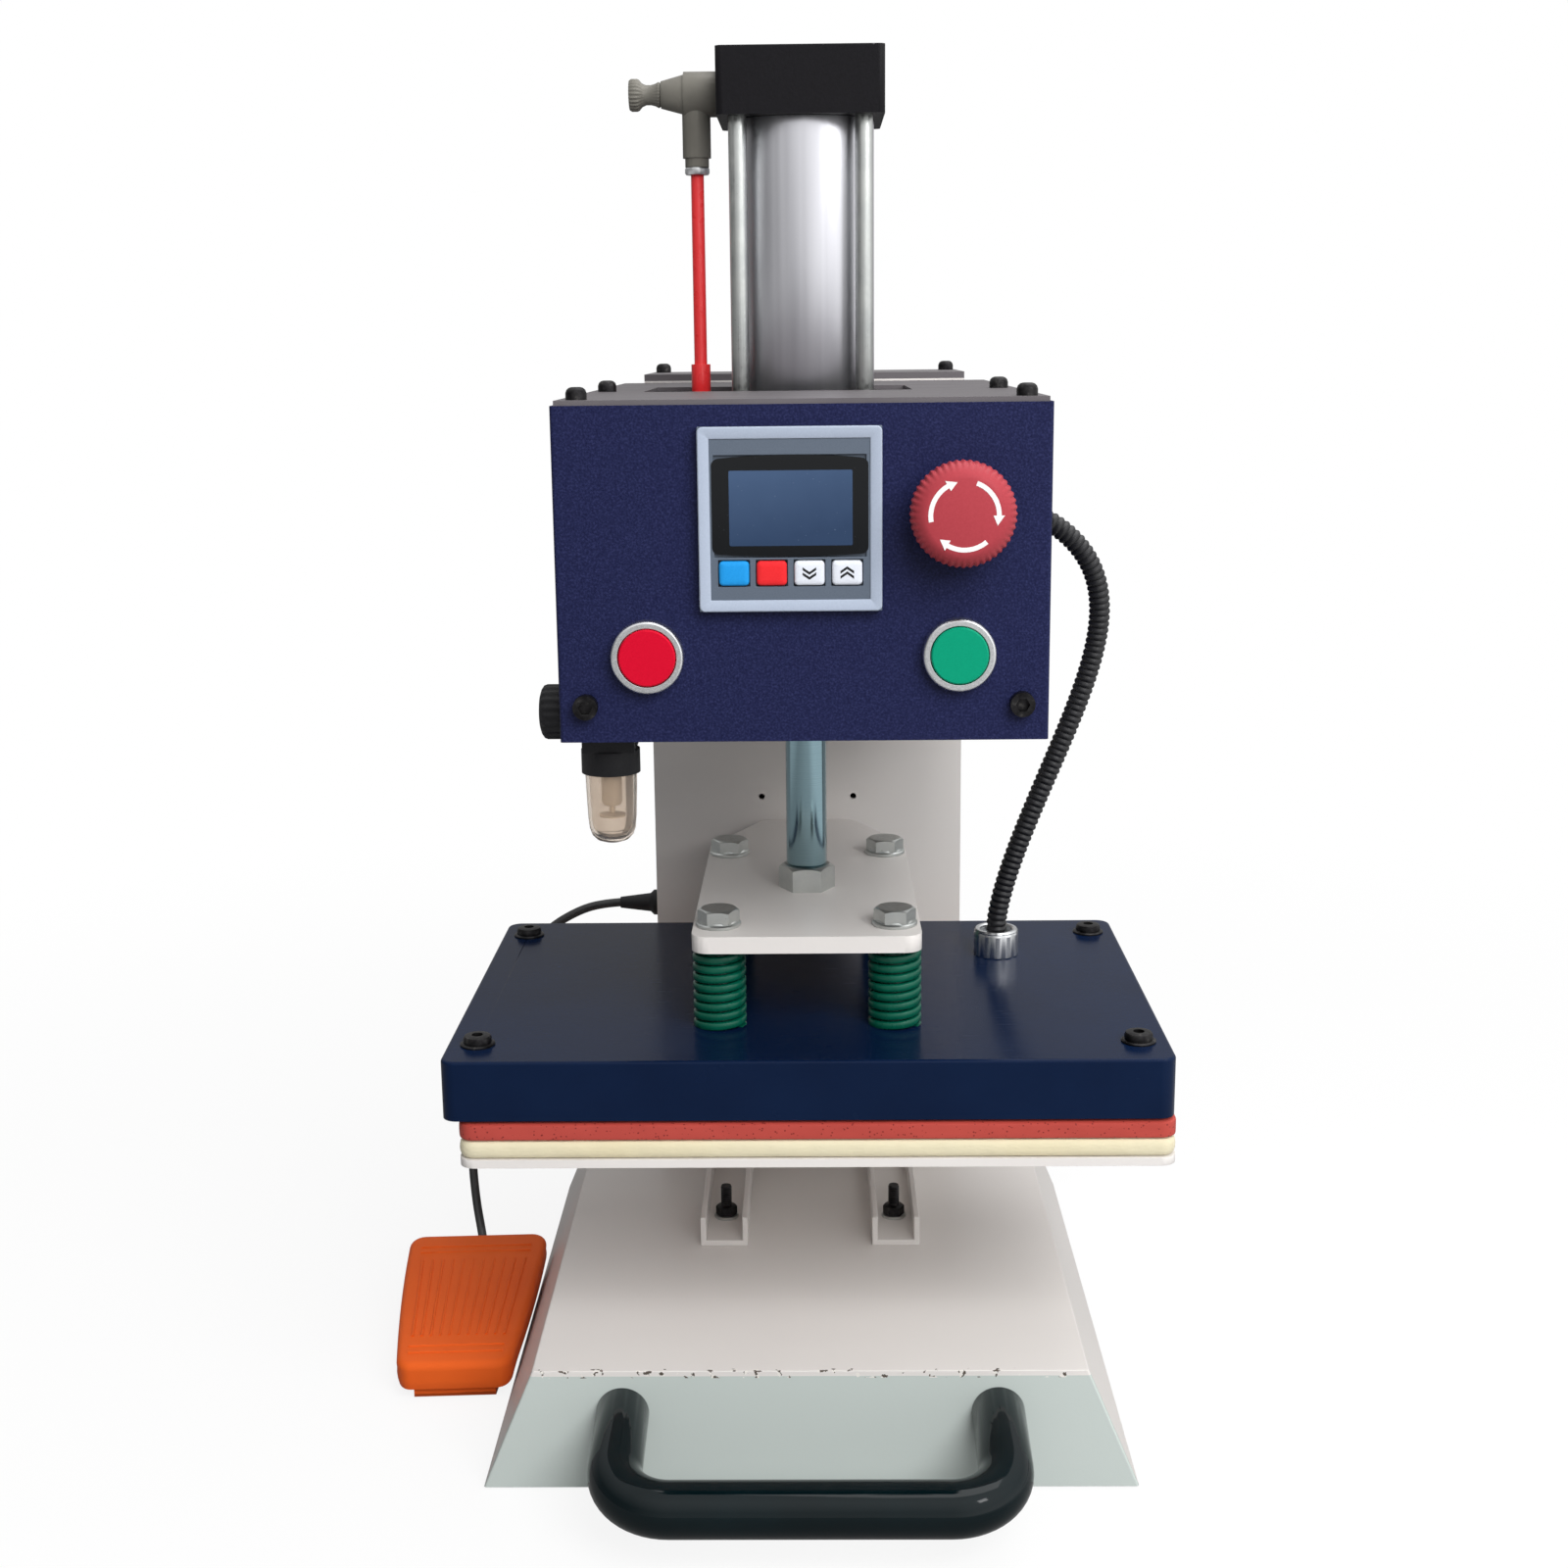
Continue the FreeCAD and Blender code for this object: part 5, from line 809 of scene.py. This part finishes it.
# Emergency stop: a mushroom head with a toothed rim and three printed arrows
stopFacts = {
    "centre": (62.5, -168, 463.5), "teeth": 48, "perTooth": 6, "depth": 0.016, "band": (12.4, 22.6),
    "toothed": 17,
    "profile": ((0, 16.1), (7.1, 16.1), (7.1, 10), (16.4, 10), (18.9, 11), (20, 12.4), (20.4, 13.4),
                (20.5, 14.8), (20.5, 19.4), (20.2, 20.6), (19.6, 21.8), (18.3, 23.6), (16.6, 25),
                (15.4, 25.7), (14.2, 26), (0, 26)),
    "arrow": 13.1, "width": 1.85, "barb": 2.2, "sweep": 70, "point": 17, "starts": (190, 70, -50),
    "steps": 24, "ink": (25.9, 26.12), "redTones": ((156, 55, 63), (170, 65, 73)),
    "whiteTones": ((222, 218, 218), (238, 235, 235))}


def arrowFlat(facts, start):
    # an arc of one width that turns clockwise and ends in a triangular point
    turn = np.radians(start - np.linspace(0, facts["sweep"], facts["steps"]))
    ring = np.stack([np.cos(turn), np.sin(turn)], axis=1)
    end = math.radians(start - facts["sweep"] - facts["point"])
    reach, half, barb = facts["arrow"], facts["width"] / 2, facts["barb"]
    tip = reach * np.array([math.cos(end), math.sin(end)])
    head = np.stack([ring[-1] * (reach + barb), tip, ring[-1] * (reach - barb)])
    return np.vstack([ring * (reach + half), head, (ring * (reach - half))[::-1]])


def makeStop(facts):
    low, high = facts["band"]

    def teeth(turn, radius, height):
        toothed = (height > low) & (height < high) & (radius > facts["toothed"])
        return 1 + facts["depth"] * np.cos(facts["teeth"] * turn) * toothed

    head = lathe(facts["profile"], facts["centre"], "-Y", facts["teeth"] * facts["perTooth"], teeth)
    red = grainCoat("mushroomRed", facts["redTones"], **keyCoat)
    addPiece("stopHead", [head], "stop_red", "estop_cap", ["estop_head"], red)
    arrows = [prism(arrowFlat(facts, start), facts["centre"], *facts["ink"], "-Y") for start in facts["starts"]]
    white = grainCoat("arrowWhite", facts["whiteTones"], **keyCoat)
    addPiece("stopArrows", arrows, "key_grey", "estop_cap", finish=white)


makeStop(stopFacts)
print("panel pieces made")

# Knobs, gland and the speed valve's ring; lobes and facets start beyond a radius
knobFacts = {
    "speed": {"centre": (-64, 0, 640), "lobes": 24, "depth": 0.03, "beyond": 5.2,
              "profile": ((0, 0.2), (5.2, 0.2), (5.6, 1), (4.9, 2.6), (4.4, 4.6), (4.4, 6.8), (5.2, 8.6),
                          (6.6, 10), (7, 10.8), (7, 13.4), (6.3, 14.5), (0, 14.5))},
    "pressure": {"centre": (-101, -130, 377), "lobes": 20, "depth": 0.025, "beyond": 10.4,
                 "profile": ((0, 0.3), (10.4, 0.3), (11.4, 1.3), (11.5, 2.4), (11.5, 7.4), (11, 8.8),
                             (9.8, 9.8), (7.6, 10.5), (0, 10.5))}}
glandFacts = {
    "centre": (98, 41, 216), "facets": 12, "depth": 0.022, "beyond": 11.2,
    "profile": ((5.8, -5), (8, -5), (8, 0), (11.1, 0), (11.5, 0.5), (11.5, 11.6), (11, 12.6), (11.3, 13),
                (10.6, 14), (9.2, 14), (8.5, 13.4), (8.5, 9), (5.8, 9))}
ringFacts = {
    "centre": (-48, 0, 604.6),
    "profile": ((3.2, 0), (5.2, 0), (5.7, 0.8), (5.7, 2.6), (5.2, 3.3), (3.2, 3.3))}
pointsPerLobe = 8


def knobShell(facts):
    def lobes(turn, radius, height):
        return 1 + facts["depth"] * np.cos(facts["lobes"] * turn) * (radius > facts["beyond"])

    return lathe(facts["profile"], facts["centre"], "-X", facts["lobes"] * pointsPerLobe, lobes)


def glandShell(facts):
    def flats(turn, radius, height):
        outside = (radius > facts["beyond"]) & (height > 0)
        return 1 - facts["depth"] * np.abs(np.sin(facts["facets"] / 2 * turn)) * outside

    count = facts["facets"] * pointsPerLobe
    return lathe(facts["profile"], facts["centre"], count=count, wave=flats, loop=True)


addPiece("speedKnob", [knobShell(knobFacts["speed"])], "valve_grey", "speed_knob", ["speed_valve_knob"])
addPiece("pressureKnob", [knobShell(knobFacts["pressure"])], "black_plastic", "pressure_knob",
         ["regulator_knob"])
addPiece("lowerGland", [glandShell(glandFacts)], "satin_ring", "platen", ["conduit_lower_gland"], sharp=20)
addPiece("valveRing", [lathe(ringFacts["profile"], ringFacts["centre"], loop=True)], "satin_ring", "frame")

# Filter: a clear hollow bowl with its pale core and baffle inside
bowlFacts = {
    "centre": (-82.5, -130, 351), "coreTones": ((184, 172, 158), (206, 196, 182)),
    "bowl": ((0, -28.8), (3.2, -28.6), (6, -27.6), (7.8, -25.6), (8.5, -23.5), (9, -20), (9.4, -8),
             (9.5, 0), (11, 0), (10.8, -8), (10.3, -20), (9.8, -24.5), (8.8, -27.4), (6.8, -29.4),
             (3.7, -30.5), (0, -30.8)),
    "core": ((0, 0), (4.4, 0), (4.4, -13), (3.6, -14.4), (1.3, -14.6), (1.3, -18), (5.6, -18.6),
             (5.6, -19.4), (1, -20), (0, -21))}


def makeFilter(facts):
    glass = lathe(facts["bowl"], facts["centre"], count=48)
    addPiece("filterGlass", [glass], "smoked", "frame", ["filter_bowl"])
    pale = grainCoat("filterCore", facts["coreTones"], **meterCoat)
    addPiece("filterCore", [lathe(facts["core"], facts["centre"], count=40)], "key_grey", "frame", finish=pale)


makeFilter(bowlFacts)

# Foot pedal's tread: a hollow cap with bulging sides and ribs on its top
treadFacts = {
    "place": (-186.5, 38), "yaw": 3, "half": 66, "heel": 39, "toe": 29, "bulge": 1.6, "heelTop": 31,
    "toeTop": 20, "heelLow": 17, "toeLow": 9, "dip": 3.4, "dipReach": 14, "notch": 3.6, "notchHalf": 7,
    "notchDepth": 8, "corner": 9, "leastCorner": 0.4, "cornerSteps": 12, "points": 220,
    "skin": 2.5, "innerTop": (28, 16, 5.5), "innerSide": (0.7, 0.35, 0),
    "edge": 4, "edgeSteps": 7, "pull": 0.8, "sideTop": 0.7, "outerSide": (0, 0.25, 0.5, 0.75),
    "crown": 0.7, "crownRun": 30, "outerTop": (9, 16, 28),
    "ribs": 11, "ribSpan": (-40, 36), "ribSpread": 0.8, "ribMargin": 1, "ribLift": 0.35, "ribSteps": 30,
    "lines": (-55, -49, 45, 51), "lineShare": 0.82, "lineLift": 0.2, "lineSteps": 20,
    "ribSize": 0.75, "ribSides": 10}


def treadWide(facts, y):
    # half the width, growing evenly from the toe to the heel
    return facts["toe"] + (facts["heel"] - facts["toe"]) * (y + facts["half"]) / (2 * facts["half"])


def treadLevel(facts, y, x, share):
    # from the lower edge to the top, both sloping; the edge dips at the toe and lifts over the cord's boss
    run = (y + facts["half"]) / (2 * facts["half"])
    low = facts["toeLow"] + (facts["heelLow"] - facts["toeLow"]) * run
    atBack = y > facts["half"] - facts["notchDepth"]
    low = low + facts["notch"] * np.exp(-(x / facts["notchHalf"]) ** 4) * atBack
    low = low - facts["dip"] * np.exp(-((y + facts["half"]) / facts["dipReach"]) ** 2)
    top = facts["toeTop"] + (facts["heelTop"] - facts["toeTop"]) * run
    return low + (top - low) * share


def treadRing(facts, inset, share, drop):
    # a rounded outline that widens from toe to heel, with sides that bulge by 1 - (y / half)^2
    half, heel = facts["half"], facts["heel"] - inset
    corner = max(facts["corner"] - inset, facts["leastCorner"])
    flat = evenRing(roundedRing(heel, half - inset, corner, facts["cornerSteps"]), facts["points"])
    wide = treadWide(facts, flat[:, 1]) + facts["bulge"] * (1 - (flat[:, 1] / half) ** 2)
    x = flat[:, 0] * (wide - inset) / heel
    level = treadLevel(facts, flat[:, 1], x, share) - drop
    return np.stack([x, flat[:, 1], level], axis=1)


def onFloor(facts, spots):
    # turns points by the pedal's yaw and sets them at its place
    yaw = math.radians(facts["yaw"])
    turn = np.array([[math.cos(yaw), math.sin(yaw), 0], [-math.sin(yaw), math.cos(yaw), 0], [0, 0, 1]])
    return spots @ turn + np.array([*facts["place"], 0])


def treadCap(facts):
    # rings from the middle of the inside, down its wall, up the outside and in over the top
    edge = facts["edge"]
    rings = [treadRing(facts, inset, 1, facts["skin"]) for inset in facts["innerTop"]]
    rings += [treadRing(facts, facts["skin"], share, 0) for share in facts["innerSide"]]
    for share in facts["outerSide"]:
        inset = facts["pull"] * (1 - math.sin(math.pi * share))
        rings.append(treadRing(facts, inset, share * facts["sideTop"], 0))
    for turn in np.radians(np.linspace(0, 90, facts["edgeSteps"])):
        rings.append(treadRing(facts, edge * (1 - math.cos(turn)), 1, edge * (1 - math.sin(turn))))
    for inset in facts["outerTop"]:
        rings.append(treadRing(facts, inset, 1, -facts["crown"] * (inset - edge) / facts["crownRun"]))
    cap = np.stack(rings)
    return gridShell(onFloor(facts, cap.reshape(-1, 3)).reshape(cap.shape))


def treadRib(facts, x, y, lift):
    # a thin bar that lies along the top
    line = np.stack([x, y, treadLevel(facts, y, x, 1) + lift], axis=1)
    return sweep(onFloor(facts, line), facts["ribSize"], (0, 0, 1), facts["ribSides"])


def treadShells(facts):
    shells = [treadCap(facts)]
    span = np.linspace(*facts["ribSpan"], facts["ribSteps"])
    for lane in np.linspace(-facts["ribSpread"], facts["ribSpread"], facts["ribs"]):
        x = lane * (treadWide(facts, span) - facts["ribMargin"])
        shells.append(treadRib(facts, x, span, facts["ribLift"]))
    for y in facts["lines"]:
        wide = facts["lineShare"] * treadWide(facts, y)
        x = np.linspace(-wide, wide, facts["lineSteps"])
        shells.append(treadRib(facts, x, np.full(len(x), y), facts["lineLift"]))
    return shells


addPiece("pedalTread", treadShells(treadFacts), "pedal_orange", "tread", ["pedal_tread"])
print("knobs, glands and tread made")

# Studio in metres: a pale floor, a bright room and soft lamps; ramps are pairs of a place and a grey level
floorFacts = {
    "reach": 5.0, "level": -0.0006, "dim": 0.35, "pale": 0.92, "fade": (0.3, 1.3, 0.86, 1.0),
    "window": ((0.1, 0.3), (0.2, 0.5), (0.26, 0.4), (0.32, 0.06), (0.56, 0.06), (0.65, 0.85),
               (0.9, 0.9)),
    "windowScale": 0.25, "windowBack": 0.25}
roomFacts = {
    "strength": 0.45, "bright": (0.8, -0.6, 0.0), "behindShare": 0.22, "behind": ((0.2, 0.0), (0.6, 1.0)),
    "wall": ((0.05, 0.2), (0.36, 0.31), (0.8, 0.92), (1.0, 1.6)), "high": ((0.66, 0.0), (0.92, 0.8))}
# Each lamp has a name, a place, a size, a power and whether metal shows it
lampFacts = {
    "aim": (0, 0, 0.3), "lamps": (("key", (0.5, -1.3, 1.2), 1.0, 23.0, False),
                                  ("glint", (1.0, -1.0, 1.25), 0.3, 2.5, True),
                                  ("top", (0.45, 0.2, 2.0), 1.4, 12.5, True))}


def rayKinds(finish):
    # camera and transmission rays together, and glossy rays
    kinds = "Camera", "Transmission", "Glossy"
    camera, through, shine = (finish.node("LightPath", out="Is %s Ray" % kind) for kind in kinds)
    return camera + through, shine


def makeFloor(facts):
    mesh = bpy.data.meshes.new("floor")
    reach, level = facts["reach"], facts["level"]
    corners = [(x * reach, y * reach, level) for x, y in ((-1, -1), (1, -1), (1, 1), (-1, 1))]
    mesh.from_pydata(corners, [], [(0, 1, 2, 3)])
    floor = bpy.data.objects.new("floor", mesh)
    scene.collection.objects.link(floor)
    pale = Finish("paleFloor", gloss=0.0, Roughness=0.9)
    clear, shine = rayKinds(pale)
    pale.set("Base Color", pale.blend(clear, grey(facts["dim"]), grey(facts["pale"])))
    glow = pale.node("Emission", {}, {"Color": grey(1.0), "Strength": 1.0})
    # the floor turns plain white away from the object, so that no horizon shows
    away = pale.node("VectorMath", {"operation": "LENGTH"}, {0: pale.place()}, out="Value")
    near, far, least, most = facts["fade"]
    ends = {0: away, 1: near, 2: far, 3: least, 4: most}
    share = pale.node("MapRange", {"interpolation_type": "SMOOTHSTEP"}, ends)
    # in bright metal it shows two pale strips, as from windows, and is dim behind
    window = pale.greyRamp(pale.axis("X") * facts["windowScale"] + 0.5, facts["window"])
    window = window * (pale.axis("Y") < facts["windowBack"])
    plain = Wire(pale, pale.shader.outputs[0])
    mixed = pale.node("MixShader", {}, {0: clear * share + shine * window, 1: plain, 2: glow})
    pale.tree.links.new(mixed.socket, pale.tree.nodes["Material Output"].inputs[0])
    mesh.materials.append(pale.material)


def makeRoom(facts):
    # white to the camera and through glass; in metal, walls that brighten to the front right and overhead
    world = bpy.data.worlds.new("room")
    world.use_nodes = True
    scene.world = world
    room = Finish("room", world.node_tree)
    clear, shine = rayKinds(room)
    gaze = room.node("TexCoord", out="Generated")
    side = room.node("VectorMath", {"operation": "DOT_PRODUCT"}, {0: gaze, 1: facts["bright"]}, out="Value")
    rise = room.node("SeparateXYZ", {}, {0: gaze}, out="Z")
    behind = room.greyRamp(room.node("SeparateXYZ", {}, {0: gaze}, out="Y"), facts["behind"])
    wall = room.greyRamp(side * 0.5 + 0.5, facts["wall"])
    high = room.greyRamp(rise * 0.5 + 0.5, facts["high"])
    both = room.node("Mix", {"data_type": "RGBA", "blend_type": "ADD"}, {0: 1.0, 6: wall, 7: high}, out=2)
    back = world.node_tree.nodes["Background"]
    white = clear + shine * behind * facts["behindShare"]
    room.feed(back.inputs["Color"], room.blend(white, both, grey(1.0)))
    room.feed(back.inputs["Strength"], facts["strength"] + (clear + shine) * (1 - facts["strength"]))


def makeLamps(facts):
    for name, place, size, power, shown in facts["lamps"]:
        lamp = bpy.data.lights.new(name, "AREA")
        lamp.size = size
        lamp.energy = power
        holder = bpy.data.objects.new(name, lamp)
        holder.location = place
        holder.rotation_euler = (Vector(facts["aim"]) - Vector(place)).to_track_quat("-Z", "Y").to_euler()
        holder.visible_camera = False
        holder.visible_glossy = shown
        scene.collection.objects.link(holder)


makeFloor(floorFacts)
makeRoom(roomFacts)
makeLamps(lampFacts)
print("studio set")
